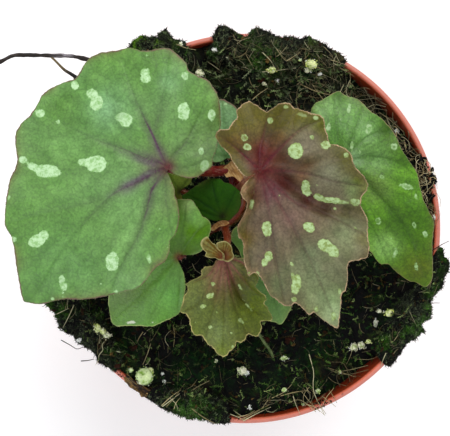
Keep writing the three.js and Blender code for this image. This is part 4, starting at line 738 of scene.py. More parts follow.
def blade(name, leaf):
    look = {**PLAIN_LOOK, **LOOKS[name]}
    rings, around = leaf["size"]
    loop, hub = closed_curve(rows(leaf["outline"]), around), np.array(leaf["hub"])
    # Fine teeth along the margin.
    outward = loop - hub
    outward /= norm(outward, axis=1)[:, None]
    q = flat(*loop.T)
    loop = loop + outward * (look["teeth"] * (noise(q, 3.2, 5) + 0.6 * noise(q, 1.5, 8)))[:, None]
    shares = 1 - (1 - np.arange(1, rings + 1) / rings) ** 1.12
    p, t = star(loop, hub, shares)
    u, v = p.T
    n = len(p)
    edge = np.full(n, FAR)
    for at_u, at_v in loop[::2]:
        edge = np.minimum(edge, np.hypot(u - at_u, v - at_v))
    edge = np.where(t > 0.999, 0, edge) * LEAF_PX
    veins = lines(VEINS[name])
    gains = rows(look["gains"]) if "gains" in look else np.ones((len(veins), 2))
    main, strength, stain = np.full(n, FAR), np.zeros(n), np.zeros(n)
    for line, (gain, reach) in zip(veins, gains):
        d, along, run = to_segments(p, open_curve(line, 26))
        d, share = d * LEAF_PX, along / run
        taper = 1 - 0.75 * share
        main = np.minimum(main, d / np.maximum(taper, 0.3))
        sharp = bell(d, 0.5 * taper + 0.08)
        soft = look["halo"] * bell(d, 1.5) * (1 - share) ** 0.7
        strength = np.maximum(strength, sharp * (0.4 + 0.6 * gain))
        near = np.exp(-(along * LEAF_PX / (look["vein_mm"] * reach)) ** 2.6)
        stain = np.maximum(stain, gain * near * np.maximum(sharp, soft))
    minor = np.full(n, FAR)
    for line in side_veins(veins, 17):
        minor = np.minimum(minor, to_segments(p, line)[0])
    minor = minor * LEAF_PX
    rib = bell(minor, 0.32)
    out = np.hypot(u - leaf["joint"][0], v - leaf["joint"][1]) * LEAF_PX
    edge = edge + 3 * (1 - step(out, 1.0, 4.5))
    space = from_view(u, v, np.full(n, float(leaf["z"])))
    z = blade_height(leaf, u, v, t)
    groove = look["groove"]
    z = z - groove * (bell(main, 0.8) + 0.35 * bell(minor, 0.6) - 0.5 * step(main, 0, 5))
    for at_u, at_v, reach, rise in rows(look["bulges"], 4):
        z = z + rise * np.exp(-((u - at_u) ** 2 + (v - at_v) ** 2) / reach ** 2) * step(out, 0.5, 5)
    crease_tints_shade_highlight = []
    # Each crease dips the blade and carries a colour: painted shade in the fold, or on the big leaf a painted
    # highlight along the main vein and the upper-left vein's own purple.
    for line, depth, width, colour, share in look["creases"]:
        d, along, run = to_segments(p, open_curve(line, 30))
        dip = bell(d * LEAF_PX, width) * step(along / run, 0.0, 0.2)
        z = z - depth * dip
        crease_tints_shade_highlight.append((rgb(*colour), share * dip * (1 - 0.75 * step(along / run, 0.5, 0.8))))
    z = z + (0.2 * fbm(space, 9, 3, 3) + 0.5 * groove * fbm(space, 3.5, 2, 7)) * step(out, 1, 8)
    z = z + 0.04 * noise(space, 1.3, 9)
    thick = 0.5 - 0.2 * t ** 2
    ribs = 0.55 * bell(main, 0.55) + 0.2 * bell(minor, 0.35)
    low = z - thick - ribs * np.clip((1 - t) / 0.12, 0, 1)
    top, bottom = from_view(u, v, z), from_view(u, v, low)

    # Colours of the blade: ground, washes (own colour, painted highlights and painted shade), streaks,
    # painted sheen bands, painted shade in creases and along the veins, veins and wear.
    base = mix(rgb(*look["base"]), rgb(*look["alt"]), step(fbm(space, 16, 3, 21), -0.5, 0.6))
    # Washes: soft patches of the leaf's own colour, and of painted highlights, sheen and shade.
    for at_u, at_v, reach, *colour, share in rows(look["washes_and_painted_light"], 7):
        wash = np.exp(-((u - at_u) ** 2 + (v - at_v) ** 2) / reach ** 2) * share
        base = mix(base, rgb(*colour), np.clip(wash * (1 + 0.35 * fbm(space, 5, 2, 31)), 0, 1))
    bearing = np.arctan2(leaf["joint"][1] - v, u - leaf["joint"][0])
    fibre = noise(flat(bearing * 16, out * 0.16), 1.0, 37)
    fibre = fibre + 0.6 * noise(flat(bearing * 38, out * 0.3), 1.0, 39)
    base = base * (1 + look["streak"] * fibre * step(out, 1, 6))[:, None]
    # Painted sheen: pale bluish bands that fan out from the joint.
    sheen_band = noise(flat(bearing * 7, out * 0.045), 1.0, 38) + 0.3 * fibre
    base = base * (1 + look["sheen_bands"] * (sheen_band * step(out, 2, 9))[:, None] * [1.0, 0.8, 1.3])
    # Crease colours: mostly painted shade in the folds; on the big leaf, a painted highlight and vein colour.
    for colour, share in crease_tints_shade_highlight:
        base = mix(base, colour, np.clip(share * (1 + 0.3 * fibre), 0, 1))
    # Painted shade along the sunken veins, with the blade between them painted a little lighter.
    base = base * (1 + groove * (0.3 * step(main, 0.4, 3) - 0.2))[:, None]
    base = base * (1 + (look["patchy"] * fbm(space, 2.6, 2, 44))[:, None] * [1.2, 0.9, 1.4])
    worn = np.exp(-edge / 1.1) * step(fbm(space, 8, 2, 35), -0.3, 0.6) * look["worn"]
    base = over(base, (*look["far"], np.clip(look["far_share"] * (strength + 0.35 * rib), 0, 1)),
                (*look["vein"], np.clip(look["vein_share"] * stain * (1 + 0.5 * fibre), 0, 1)),
                (*look["heart"], 0.9 * bell(out, look["heart_mm"])), (124, 108, 76, worn))
    if name == "bronze":
        roll = nearness(bearing, -126, 26) * step(edge, 1.9, 0.4) * step(out, 2, 6)
        roll = roll * step(noise(space, 1.5, 46), -0.5, 0.3)
        base = mix(base, rgb(206, 158, 132) * (1 + 0.25 * fibre)[:, None], 0.9 * roll)
        base = mix(base, rgb(100, 98, 42), 0.5 * step(edge, 4, 0.4) * (1 - nearness(bearing, -60, 40)))

    spot, tone, hollow = np.full(n, 9.0), np.zeros(n), np.zeros(n)
    for cu, cv, w, h, turn, share, ring in rows(SPOTS.get(name, ""), 7):
        c, s = cos(radians(turn)), sin(radians(turn))
        a, b = (u - cu) * c + (v - cv) * s, -(u - cu) * s + (v - cv) * c
        d = (np.hypot(a / (w / 2), b / (h / 2)) - 1) * min(w, h) / 2 * LEAF_PX
        closer = d < spot
        spot = np.where(closer, d, spot)
        tone, hollow = np.where(closer, share, tone), np.where(closer, ring, hollow)

    # The underside keeps every third ring.
    kept = range((rings - 1) % 3, rings, 3)
    below = np.concatenate([[0], *(1 + i * around + np.arange(around) for i in kept)])
    lip = from_view(*(loop + outward * 0.35).T, (z - thick / 2)[-around:])
    points = np.concatenate([top, bottom[below], lip])
    m = len(below)
    faces = (star_faces(0, rings, around) + star_faces(n, (m - 1) // around, around, True)
             + band_faces(n - around, n + m, around) + band_faces(n + m, n + m - around, around))
    both = lambda x: np.concatenate([x, x[below], x[-around:]])
    attributes = {"tint": both(base), "spot": both(spot), "tone": both(tone), "hollow": both(hollow),
                  "edge": both(edge), "vein": both(np.maximum(strength, 0.5 * rib)),
                  "face": np.concatenate([np.ones(n), np.zeros(m), np.full(around, 0.6)])}
    return points, faces, attributes, (loop, outward, z[-around:])


hairs = Heap()


def add_hair(root, way, length, tint):
    way = unit(way)
    side = unit(np.cross(way, [0.3, 0.5, 0.8]))
    other = np.cross(way, side)
    ring = [root + HAIR_R * (cos(a) * side + sin(a) * other) for a in (0, 2.094, 4.189)]
    hairs.add([*ring, root + way * length], [[0, 1, 3], [1, 2, 3], [2, 0, 3]], tint)


YOUNG_LOBES = [
    dict(hub=(214, 251), rise=(0.22, 0.5), outline="""224 260 224 254 218 249 215 244 212.5 243 209.5 239.5
     207 236.5 202 239.5 200.5 244 202.5 249 206 252.5 205 256 210 258 215 258 219 260"""),
    dict(hub=(226, 250), rise=(0.3, 0.6), outline="""228 262 233 259 234 256 232.5 252 232 247.5 229 243
     225 241 220 241.5 216.5 243.5 218 249 222 253 223 260"""),
]


def lobe(leaf, part, around=150, rings=16):
    """One of the young leaf's basal lobes, which stand up and show their pale undersides."""
    loop, hub = closed_curve(rows(part["outline"]), around), np.array(part["hub"])
    p, t = star(loop, hub, np.arange(1, rings + 1) / rings)
    u, v = p.T
    away = np.hypot(u - leaf["joint"][0], v - leaf["joint"][1]) * LEAF_PX
    z = leaf["z"] - 0.1 + np.maximum(0, part["rise"][1] * away - 0.045 * away ** 2) + part["rise"][0] * t * t
    z = z + 0.5 * t ** 2 * np.sin(np.arctan2(v - hub[1], u - hub[0]) * 3 + 1) + 0.5 * t ** 4
    points, faces = sheet(u, v, z, 0.35, rings, around)
    bearing = np.arctan2(v - leaf["joint"][1], u - leaf["joint"][0])
    streak = step(noise(flat(bearing * 9, away * 0.2), 1.0, 33), -0.5, 0.6)
    tint = over(rgb(118, 96, 44), (146, 142, 82, streak), (124, 62, 44, bell(away, 2.4)),
                (206, 198, 136, step(t, 0.82, 0.95) * 0.9))
    none = np.zeros(len(points))
    return points, faces, {"tint": np.concatenate([tint, tint]), "spot": none + 9, "tone": none,
                           "hollow": none, "edge": none + 9, "vein": none, "face": none + 1}


for name, leaf in LEAVES.items():
    points, faces, attributes, (loop, outward, z_edge) = blade(name, leaf)
    if name == "young_olive":
        for part in YOUNG_LOBES:
            more, more_faces, more_attributes = lobe(leaf, part)
            faces += [[i + len(points) for i in f] for f in more_faces]
            points = np.concatenate([points, more])
            attributes = {k: np.concatenate([attributes[k], more_attributes[k]]) for k in attributes}
    piece("blade_" + name, points, faces, SKINS[SKIN_OF.get(name, name)], attributes, LEAF_SLOT[name],
          "leaf_" + name)
    # Short pale hairs along the margin.
    if name in ("big_green", "bronze", "young_olive", "lower_green"):
        for j in range(0, len(loop), 4 if name == "big_green" else 3):
            root = from_view(*loop[j], z_edge[j] - 0.15)
            way = np.array([outward[j, 0], -outward[j, 1], 0]) + rng.normal(0, 0.45, 3)
            add_hair(root, way, vary(0.35, 0.3), rgb(196, 176, 150))

# Stem, petioles, stipules.
STEM = rows("227 224 58  228 221 76  231 212 86  237 199 95  243 185 102", 3)
STEM_STEPS, PETIOLE_STEPS = 90, 64
# Where on the stem it starts, its two radii; its colour; then the places it passes.
PETIOLES = {
    "big_green": """0.88 1.7 1.35  112 34 30  231 172 102  214 171.5 109  192 170.5 121  176 168.5 131
        169 168 135""",
    "bronze": "0.95 1.6 1.3  150 84 70  249 179 116  256 174 132  260 171 144",
    "right_green": "0.86 1.3 1  118 70 44  272 184 101.5  308 172 107.5  334 162 112  342 161 115",
    "young_olive": """0.9 1.2 1  134 60 42  241 206 100  232 219 101.5  225 226 104.5  227.5 238 111
        225.5 250 117  224 257 120.5""",
    "lower_green": """0.66 1.3 1.05  104 48 34  224 224 93.5  211 230 99  194 243.5 107  181 255.5 112.5
        178 258 115""",
    "middle_dark": "0.82 1.05 0.95  120 80 40  232 206 97.5  226 213 102.5  222.5 216 109",
    "upper_green": "0.8 1 0.8  120 60 40  243 178 96.5  240 167 101  232 158 106.5  228 155.5 110.5",
    "under_bronze": "0.66 1.1 0.9  120 70 44  248 214 94  252 228 101  252.5 236.5 106.5",
    "under_big": "0.62 1 0.8  110 60 40  212 203 93  192 195 98  180.5 190.5 101.5",
}
stalk_skin = tinted("stalk_skin", 0.42, 0.4, 900.0, 0.14, 0.25, 0.12)


def course(table, n):
    """n points along a line through rows of u, v and z."""
    return open_curve(from_view(*table.T), n)


stem_path = course(STEM, STEM_STEPS)
share = np.linspace(0, 1, STEM_STEPS)
stem_r = 4.2 * (1 - 0.25 * share) * (1 + 0.06 * np.cos(share * 40))
stem_r = stem_r * np.sqrt(np.clip(1.04 - np.maximum(0, share - 0.86) * 7, 0.1, 1))
points, faces, along = tube(stem_path, stem_r, 28)
points = points + 0.18 * fbm(points, 2.2, 2, 4)[:, None] * np.array([1, 1, 0.3])
tint = over(rgb(104, 56, 36), (132, 84, 50, step(noise(points, 1.6, 6), -0.4, 0.7)),
            (86, 100, 46, 0.35 * step(noise(points, 4.0, 16), 0.0, 0.8)),
            (164, 128, 82, 0.7 * bell(np.cos(along * 40) - 1, 0.12)))
piece("stem_skin", points, faces, stalk_skin, tint, "stem", "stem")


def fuzz(path, radii, every, length, tint):
    """Fine hairs that stand out all along a stalk."""
    tangent = np.gradient(path, axis=0)
    for i in range(2, len(path) - 2):
        for _ in range(every):
            way = rng.normal(0, 1, 3)
            way -= tangent[i] * np.dot(way, tangent[i]) / (np.dot(tangent[i], tangent[i]) + 1e-9)
            way = unit(way)
            root = path[i] + tangent[i] * rng.random() + way * radii[i] * 0.95
            add_hair(root, way + rng.normal(0, 0.25, 3), length * vary(0.6, 0.8), tint)


for name, text in PETIOLES.items():
    (start, r0, r1), colour, *by = rows(text, 3)
    stem_at = stem_path[int(start * (STEM_STEPS - 1))]
    path = open_curve(np.concatenate([[stem_at], from_view(*np.transpose(by))]), PETIOLE_STEPS)
    leaf, (u, v) = LEAVES[name], LEAVES[name]["joint"]
    goal = blade_height(leaf, float(u), float(v), 0.0) - r1 - 0.42
    path[-1] = from_view(u, v, goal)
    path[:, 2] = np.minimum(path[:, 2], goal)
    t = np.linspace(0, 1, PETIOLE_STEPS)
    radii = (r0 + (r1 - r0) * t) * (1 + 0.28 * bell(t, 0.08))
    points, faces, along = tube(path, radii, 16)
    tint = mix(rgb(*colour), rgb(*colour) * 1.5, step(noise(points, 1.1, 12), -0.3, 0.8))
    tint = over(tint, (150, 120, 70, 0.35 * step(noise(points * [1, 1, 0.3], 1.5, 14), 0.1, 0.9)))
    piece("stalk_" + name, points, faces, stalk_skin, tint, "petiole", "petiole_" + name)
    fuzz(path, radii, 5 if name in ("bronze", "big_green") else 3, 0.9, rgb(214, 184, 160))
fuzz(stem_path[55:], stem_r[55:], 5, 1.0, rgb(150, 120, 96))

papery = tinted("papery", 0.7, 0.2, 1200.0, 0.16, 0.3, 0.1)
STIPULE = rows("""223 168.5  228 164  232.5 160.5  236 164  240 170  245 178  243 184  239 181  233 176.5
    226 177""", 2)


def bract(outline, hub, z_of, curl, tint_a, tint_b, around=110, rings=14):
    p, t = star(closed_curve(outline, around), np.array(hub, float), np.arange(1, rings + 1) / rings)
    u, v = p.T
    z = z_of(u, v) + curl * t ** 3 + 0.25 * np.sin(u * 0.9 + v * 0.3) * t
    points, faces = sheet(u, v, z, 0.22, rings, around)
    streak = step(noise(flat((u * 0.8 - v * 0.6) * 1.6, (u + v) * 0.12), 1.0, 3), -0.5, 0.7)
    tint = over(rgb(*tint_a), (*tint_b, streak), (108, 62, 36, 0.6 * (1 - step(t, 0.0, 0.5))))
    return points, faces, papery, np.concatenate([tint, tint]), "stipule"


piece("stipule_skin", *bract(
    STIPULE, (233, 171), lambda u, v: 104.5 + (240 - u) * 0.12 + (168 - v) * 0.06, 0.7,
    (184, 144, 92), (216, 182, 128)), "stipule")
SCALE_LEAF = rows("210.5 229.5  214 224.5  220 221  226 220.5  229.5 223  226 225.5  219 227  213.5 231", 2)
piece("small_bract", *bract(
    SCALE_LEAF, (220, 224.5), lambda u, v: 108 - np.abs(u - 220) * 0.1, 0.5,
    (186, 136, 88), (222, 184, 128), 70, 8))

# Pot.
n = Nodes("terracotta_plastic")
fine = n.noise(700.0, 4.0, 0.6)
broad = n.noise(60.0, 3.0, 0.5)
dust = n.ramp(n.noise(420.0, 5.0, 0.75), 0.6, 0.74)
clay = n.shade(n.attribute("tint", True), n.ramp(broad, 0.35, 0.65, 0.94, 1.05))
clay = n.speckle(clay, fine, 0.3, 0.7, 0.05)
clay = n.blend(clay, rgb(66, 40, 28), n.times(dust, n.attribute("dirt")))
pot_skin = n.finish(clay, n.ramp(fine, 0.3, 0.7, 0.36, 0.5), 0.45, n.bump(fine, 0.12, 0.08))


def inner_radius(z):
    z = np.asarray(z, float)
    upper = NECK_R - 0.2 + (LIP_IN_R - NECK_R + 0.2) * (z - BAND_Z) / BAND_H
    lower = BASE_R - WALL + (NECK_R - BASE_R) * np.clip(z / BAND_Z, 0, 1)
    return np.where(z > BAND_Z, upper, lower)


def rounded(profile, radius, keep):
    """Rounds the corners of a profile, apart from those listed in keep."""
    out = []
    for i, (a, b, c) in enumerate(zip([None, *profile[:-1]], profile, [*profile[1:], None])):
        if a is None or c is None or i in keep:
            out.append(b)
            continue
        a, b, c = map(np.array, (a, b, c))
        ra = min(radius, norm(a - b) * 0.45)
        rc = min(radius, norm(c - b) * 0.45)
        p, q = b + unit(a - b, 0) * ra, b + unit(c - b, 0) * rc
        for s in (0, 0.25, 0.5, 0.75, 1):
            out.append(tuple((1 - s) ** 2 * p + 2 * s * (1 - s) * b + s * s * q))
    return out


HOLE_IN, HOLE_OUT, FLOOR_TOP = DRAIN_RING_R - DRAIN_R - 0.6, DRAIN_RING_R + DRAIN_R + 0.6, FLOOR_Z + WALL
profile = rounded([
    (0, 0), (FOOT_DISC_R, 0), (FOOT_DISC_R + 1.5, FLOOR_Z), (HOLE_IN, FLOOR_Z), (HOLE_OUT, FLOOR_Z),
    (BASE_R - FOOT_W - 1, FLOOR_Z), (BASE_R - FOOT_W, 0), (BASE_R - 0.6, 0), (BASE_R, 0.7),
    (NECK_R, BAND_Z - 1), (BAND_OUT_R, BAND_Z), (BAND_OUT_R + 0.45, POT_H - 3), (RIM_R - 0.2, POT_H - 2),
    (RIM_R, POT_H - 0.8), (RIM_R - 0.5, POT_H), (LIP_IN_R + 0.4, POT_H), (LIP_IN_R, POT_H - 1),
    (float(inner_radius(POT_H - 3)), POT_H - 3), (float(inner_radius(BAND_Z + 0.01)), BAND_Z + 0.5),
    (float(inner_radius(BAND_Z)), BAND_Z - 0.5), (float(inner_radius(FLOOR_TOP)), FLOOR_TOP),
    (HOLE_OUT, FLOOR_TOP), (HOLE_IN, FLOOR_TOP), (0, FLOOR_TOP)], 0.5, (3, 4, 5, 21, 22))
turns = 192
angle = np.arange(turns) * 2 * pi / turns
points, faces, starts = [], [], []
for r, z in profile:
    starts.append(len(points))
    points += [[0, 0, z]] if r == 0 else level_ring(r, z, angle).tolist()
for a, b, (r, _), (r_next, _) in zip(starts, starts[1:], profile, profile[1:]):
    for j in range(turns):
        k = (j + 1) % turns
        faces.append([a, b + k, b + j] if r == 0 else [a + j, a + k, b] if r_next == 0
                     else [a + j, a + k, b + k, b + j])
points = np.array(points)
radius = np.hypot(points[:, 0], points[:, 1])
lip_at = next(start for start, (_, z) in zip(starts, profile) if z > POT_H - 0.01)
inside = (np.arange(len(points)) >= lip_at) & (radius < LIP_IN_R + 0.2)
height = points[:, 2]
# The inner wall is painted darker deeper down (painted shade), with a painted highlight along its top edge.
wall = over(rgb(76, 26, 18), (150, 60, 42, step(height, POT_H - 7, POT_H - 1)),
            (236, 124, 98, step(height, POT_H - 1, POT_H - 0.4)))
# The lip is painted lighter on its top than on its sides, with a painted highlight line along its inner edge.
tint = over(rgb(202, 98, 72), (228, 138, 122, step(height, POT_H - 1.4, POT_H - 0.2)),
            (240, 126, 100, step(radius, LIP_IN_R + 0.8, LIP_IN_R + 0.5) * (height > POT_H - 0.9)))
tint = mix(tint, wall, inside * 1.0)
dirt = np.where(inside, 0.9, np.where(height > POT_H - 1, 0.5, 0.1)) * step(height, 40, 88) + 0.05
pot = piece("pot_skin", points, faces, pot_skin, {"tint": tint, "dirt": dirt}, "terracotta_plastic", "pot")
drills = []
for hole in range(8):
    bearing = pi / 4 * hole
    bpy.ops.mesh.primitive_cylinder_add(vertices=40, radius=DRAIN_R * 0.001, depth=0.012,
                                        location=(*polar(DRAIN_RING_R * 0.001, bearing), 0.002))
    drills.append(bpy.context.object)
bpy.ops.object.select_all(action="DESELECT")
for drill in drills:
    drill.select_set(True)
bpy.context.view_layer.objects.active = drills[0]
bpy.ops.object.join()
drill = bpy.context.object
cut = pot.modifiers.new("drain", "BOOLEAN")
cut.operation, cut.object, cut.solver = "DIFFERENCE", drill, "EXACT"
bpy.context.view_layer.objects.active = pot
bpy.ops.object.modifier_apply(modifier=cut.name)
bpy.data.objects.remove(drill)

# Potting mix.
MIX_BELOW_RIM = rows("""-180 1  -160 0.5  -132 1  -118 2  -105 1  -95 2  -84 2.5  -70 4  -62 6.5  -52 8  -46 7
    -40 1  -8 0.5  0 0.8  16 1  27 3  38 7  50 6.5  60 1.5  70 0.8  98 0.8  103 3  110 0.8  130 0.6  150 2
    180 1""", 2)
MIX_MIDDLE_Z = POT_H - 7


def mix_height(x, y):
    reach = np.clip(np.hypot(x, y) / inner_radius(POT_H - 4), 0, 1)
    bearing = np.degrees(np.arctan2(y, x))
    angles, drops = MIX_BELOW_RIM.T
    i = np.clip(np.searchsorted(angles, bearing) - 1, 0, len(angles) - 2)
    part = step((bearing - angles[i]) / (angles[i + 1] - angles[i]), 0, 1)
    wall = POT_H - (drops[i] + (drops[i + 1] - drops[i]) * part)
    lumps = np.sin(x * 0.31 + 1.3 * np.sin(y * 0.17)) * np.cos(y * 0.27 - 0.6)
    lumps = lumps + 0.6 * np.sin(x * 0.73 - y * 0.54 + 2) * np.cos(x * 0.2 + y * 0.61)
    fade = 1 - step(reach, 0.8, 1)
    rise = step(reach, 0.35, 0.98)
    return MIX_MIDDLE_Z * (1 - rise) + wall * rise + 0.9 * lumps * fade


def mix_top(x, y):
    return float(mix_height(np.array([x]), np.array([y]))[0])


def dryness(p):
    """Share of pale dead roots in the mix: most of them lie along the top and right of the pot."""
    return 0.75 * step(p[:, 1] + 0.35 * p[:, 0], 14, 44)


def ground_tint(p):
    """Dark damp mix: near-black, with bluish, mossy and peaty patches."""
    a, b, c = fbm(p, 9, 3, 41), fbm(p, 6, 3, 43), fbm(p, 2.2, 2, 47)
    return over(rgb(22, 27, 19), (38, 56, 30, step(a, 0.0, 0.8)), (24, 32, 36, 0.7 * step(b, 0.15, 0.8)),
                (58, 46, 34, 0.35 * step(-b, 0.3, 0.9)), (52, 60, 46, 0.7 * dryness(p) * step(-a, -0.4, 0.7)),
                (54, 78, 40, 0.45 * step(c, 0.3, 0.9)), (5, 6, 5, 0.85 * step(-c, 0.1, 0.55)))


mix_skin = tinted("peat_mix", 0.82, 0.16, 1300.0, 0.5, 0.8, 0.5, 0.6)
turns, reaches = 300, np.concatenate([np.linspace(0.012, 0.97, 100), [0.985, 1.0]])
angle = np.arange(turns) * 2 * pi / turns
rings = []
edge_r = inner_radius(POT_H - 14) - 0.1
for reach in reaches:
    x, y = reach * edge_r * np.cos(angle), reach * edge_r * np.sin(angle)
    z = mix_height(x, y)
    if reach == 1.0:
        r = inner_radius(z) - 0.05
        x, y = r * np.cos(angle), r * np.sin(angle)
    q = flat(x, y)
    rough = 0.75 * fbm(q, 6.5, 4, 51) + 0.35 * np.abs(noise(q, 2.2, 57)) + 0.18 * noise(q, 0.9, 59)
    rings.append(np.stack([x, y, z + rough * (1 - 0.75 * step(reach, 0.94, 1))], -1))
for z in (BAND_Z - 0.4, 30.0, FLOOR_TOP + 0.1):
    rings.append(level_ring(inner_radius(z) - 0.25, z, angle))
points = np.concatenate([[[0, 0, mix_top(0.0, 0.0)]], *rings, [[0, 0, FLOOR_TOP + 0.1]]])
last = 1 + (len(rings) - 1) * turns
faces = star_faces(0, len(rings), turns)
faces += [[len(points) - 1, last + (j + 1) % turns, last + j] for j in range(turns)]
piece("mix_body", points, faces, mix_skin, ground_tint(points), "peat_mix", "potting_mix")

# Moss cushions.
MATS = {
    "moss_northwest": ((160, 55), 3.4, """126 52 130 43 138 37 148 35 157 36 160 30 165 28 169 31 173 38
     182 40 188 45 192 56 187 70 168 80 146 76 131 65"""),
    "moss_north": ((272, 58), 3.2, """205 54 211 42 214 31 218 26.5 224 25.5 230 28 238 33.5 247 36 251 29
     257 27 266 31 276 37 290 36 303 38 309 36 319 41 331 47 345 60 340 74 322 79 300 76 278 82 255 84
     232 76 214 67"""),
    "moss_east": ((412, 310), 2.8, """441 246 446 256 450 266 446 276 442 287 435 295 432 303 431 318 421 324
     425 333 418 338 407 344 401 353 394 363 388 368 376 356 376 338 386 318 398 300 414 287 424 275
     433 256"""),
    "moss_southwest": ((92, 330), 2.6, """44 302 55 314 58 326 64 332 71 336 77 344 88 350 96 356 99 364
     107 368 116 372 124 362 118 345 110 326 104 308 92 300 74 297 56 297"""),
    "moss_south": ((190, 405), 2.0, """146 396 158 406 171 413 184 418 203 420.5 219 424 229 423 230 408
     222 396 204 390 184 388 164 386 150 388"""),
}
MATS = {k: (np.array(hub, float), crown, rows(outline)) for k, (hub, crown, outline) in MATS.items()}
MAT_STEPS, MAT_RINGS = 360, 22
mat_polar = {}
for name, (hub, crown, outline) in MATS.items():
    loop = closed_curve(outline, MAT_STEPS)
    outward = (loop - hub) / norm(loop - hub, axis=1)[:, None]
    q = flat(*loop.T)
    ragged = 1.4 * noise(q, 7, 61) + 1.2 * noise(q, 2.8, 63) + 0.7 * noise(q, 1.3, 65) - 0.9
    loop = loop + outward * ragged[:, None]
    a = np.arctan2(loop[:, 1] - hub[1], loop[:, 0] - hub[0])
    order = np.argsort(a)
    mat_polar[name] = (a[order], norm(loop - hub, axis=1)[order], loop)


def mix_at(u, v, z):
    """The mix's height where the eye sees pixel (u, v) at height z, and that place's x, y and radius."""
    x, y, _ = np.moveaxis(from_view(u, v, np.full(np.shape(u), z)), -1, 0)
    return mix_height(x, y), x, y, np.hypot(x, y)


def mat_top(name, u, v, t):
    crown = MATS[name][1]
    soil, _, _, r = mix_at(u, v, POT_H)
    lumps = 0.55 * np.sin(u * 0.33 + v * 0.12) * np.cos(v * 0.41 - u * 0.09)
    q = flat(u, v)
    rough = 1.1 * fbm(q, 16, 4, 71) + 0.4 * np.abs(noise(q, 5.0, 73)) + 0.25 * noise(q, 2.4, 75)
    rough = rough * (1 - 0.4 * t)
    dome = (crown + lumps) * np.sqrt(np.maximum(0.02, 1 - 0.96 * t * t))
    outer = np.maximum(soil, POT_H - 0.4) + 0.7 + dome
    inner = soil + (crown + lumps) * np.maximum(0, 1 - t * t) ** 0.8 - 1.6 * t ** 4
    share = step(r, LIP_IN_R - 9, LIP_IN_R - 1)
    return inner + (outer - inner) * share + rough - 0.35


def mat_low(u, v):
    soil, _, _, r = mix_at(u, v, POT_H)
    return np.where(r < LIP_IN_R - 1, soil - 3.2, np.where(r < RIM_R + 0.3, POT_H + 0.12, POT_H - 1.1))


def surface(u, v):
    """Height of what the eye meets at (u, v), and whether that is a moss cushion and not the mix."""
    z, x, y, _ = mix_at(u, v, POT_H - 4)
    z = z + 0.75 * fbm(flat(x, y), 6.5, 4, 51)
    on_mat = np.zeros(np.shape(u), bool)
    for name, (hub, _, _) in MATS.items():
        angles, radii, _ = mat_polar[name]
        a = np.arctan2(v - hub[1], u - hub[0])
        t = np.hypot(u - hub[0], v - hub[1]) / np.interp(a, angles, radii, period=2 * pi)
        inside = t < 0.97
        z = np.where(inside, mat_top(name, u, v, np.minimum(t, 1)), z)
        on_mat |= inside
    return z, on_mat


def surface_at(u, v):
    return float(surface(np.array([u]), np.array([v]))[0][0])


def black_lump(p):
    return np.exp(-np.sum((p - from_view(219, 31, POT_H + 2)) ** 2, 1) / 8)


def moss_tint(p, name):
    x, y, _ = p.T
    a, b = fbm(p, 5, 3, 81), fbm(p, 1.8, 2, 83)
    tint = over(rgb(24, 31, 19), (52, 78, 36, step(a, -0.2, 0.8)))
    if name == "moss_northwest":
        tint = over(tint, (92, 128, 48, np.exp(-((x + 30) ** 2 + (y - 57) ** 2) / 30) * step(b, -0.6, 0.5)),
                    (14, 15, 15, 0.85 * np.exp(-((x + 24.5) ** 2 + (y - 60) ** 2) / 7)))
    if name == "moss_north":
        tint = over(tint, (84, 76, 56, 0.5 * step(x, 12, 26) * step(b, -0.3, 0.6)),
                    (13, 13, 14, 0.92 * black_lump(p)))
    return over(tint, (26, 34, 38, 0.55 * step(-a, 0.25, 0.8)),
                (58, 66, 50, 0.6 * dryness(p) * step(fbm(p, 3.0, 2, 87), -0.2, 0.7)),
                (6, 7, 6, 0.85 * step(-b, -0.05, 0.4)))


moss_skin = tinted("moss", 0.85, 0.14, 1500.0, 0.45, 0.9, 0.5, 0.65)
shoot_skin = tinted("moss_leaf", 0.8, 0.16, 1500.0, 0.35)
for name, (hub, _, _) in MATS.items():
    p, t = star(mat_polar[name][2], hub, np.arange(1, MAT_RINGS + 1) / MAT_RINGS)
    u, v = p.T
    # The lower side has only the hub and three rings.
    kept = (9, 17, MAT_RINGS - 1)
    below = np.concatenate([[0], *(1 + i * MAT_STEPS + np.arange(MAT_STEPS) for i in kept)])
    points = np.concatenate([from_view(u, v, mat_top(name, u, v, t)), from_view(u, v, mat_low(u, v))[below]])
    m = len(p)
    faces = (star_faces(0, MAT_RINGS, MAT_STEPS) + star_faces(m, len(kept), MAT_STEPS, True)
             + band_faces(m - MAT_STEPS, m + len(below) - MAT_STEPS, MAT_STEPS))
    piece(name + "_skin", points, faces, moss_skin, moss_tint(points, name), "moss", name)


def scatter(count):
    """Plan points spread evenly over the pot and the moss beyond its rim."""
    reach = (RIM_R + 4) / PX
    uv = rng.uniform(-reach, reach, (int(count * 1.35), 2)) + np.array(RIM_CENTRE)
    z, on_mat = surface(uv[:, 0], uv[:, 1])
    place = from_view(uv[:, 0], uv[:, 1], z)
    keep = (np.hypot(place[:, 0], place[:, 1]) < inner_radius(z) - 1.0) | on_mat
    return uv[keep][:count], place[keep][:count]


def triangles(n):
    return np.arange(3 * n).reshape(n, 3).tolist()


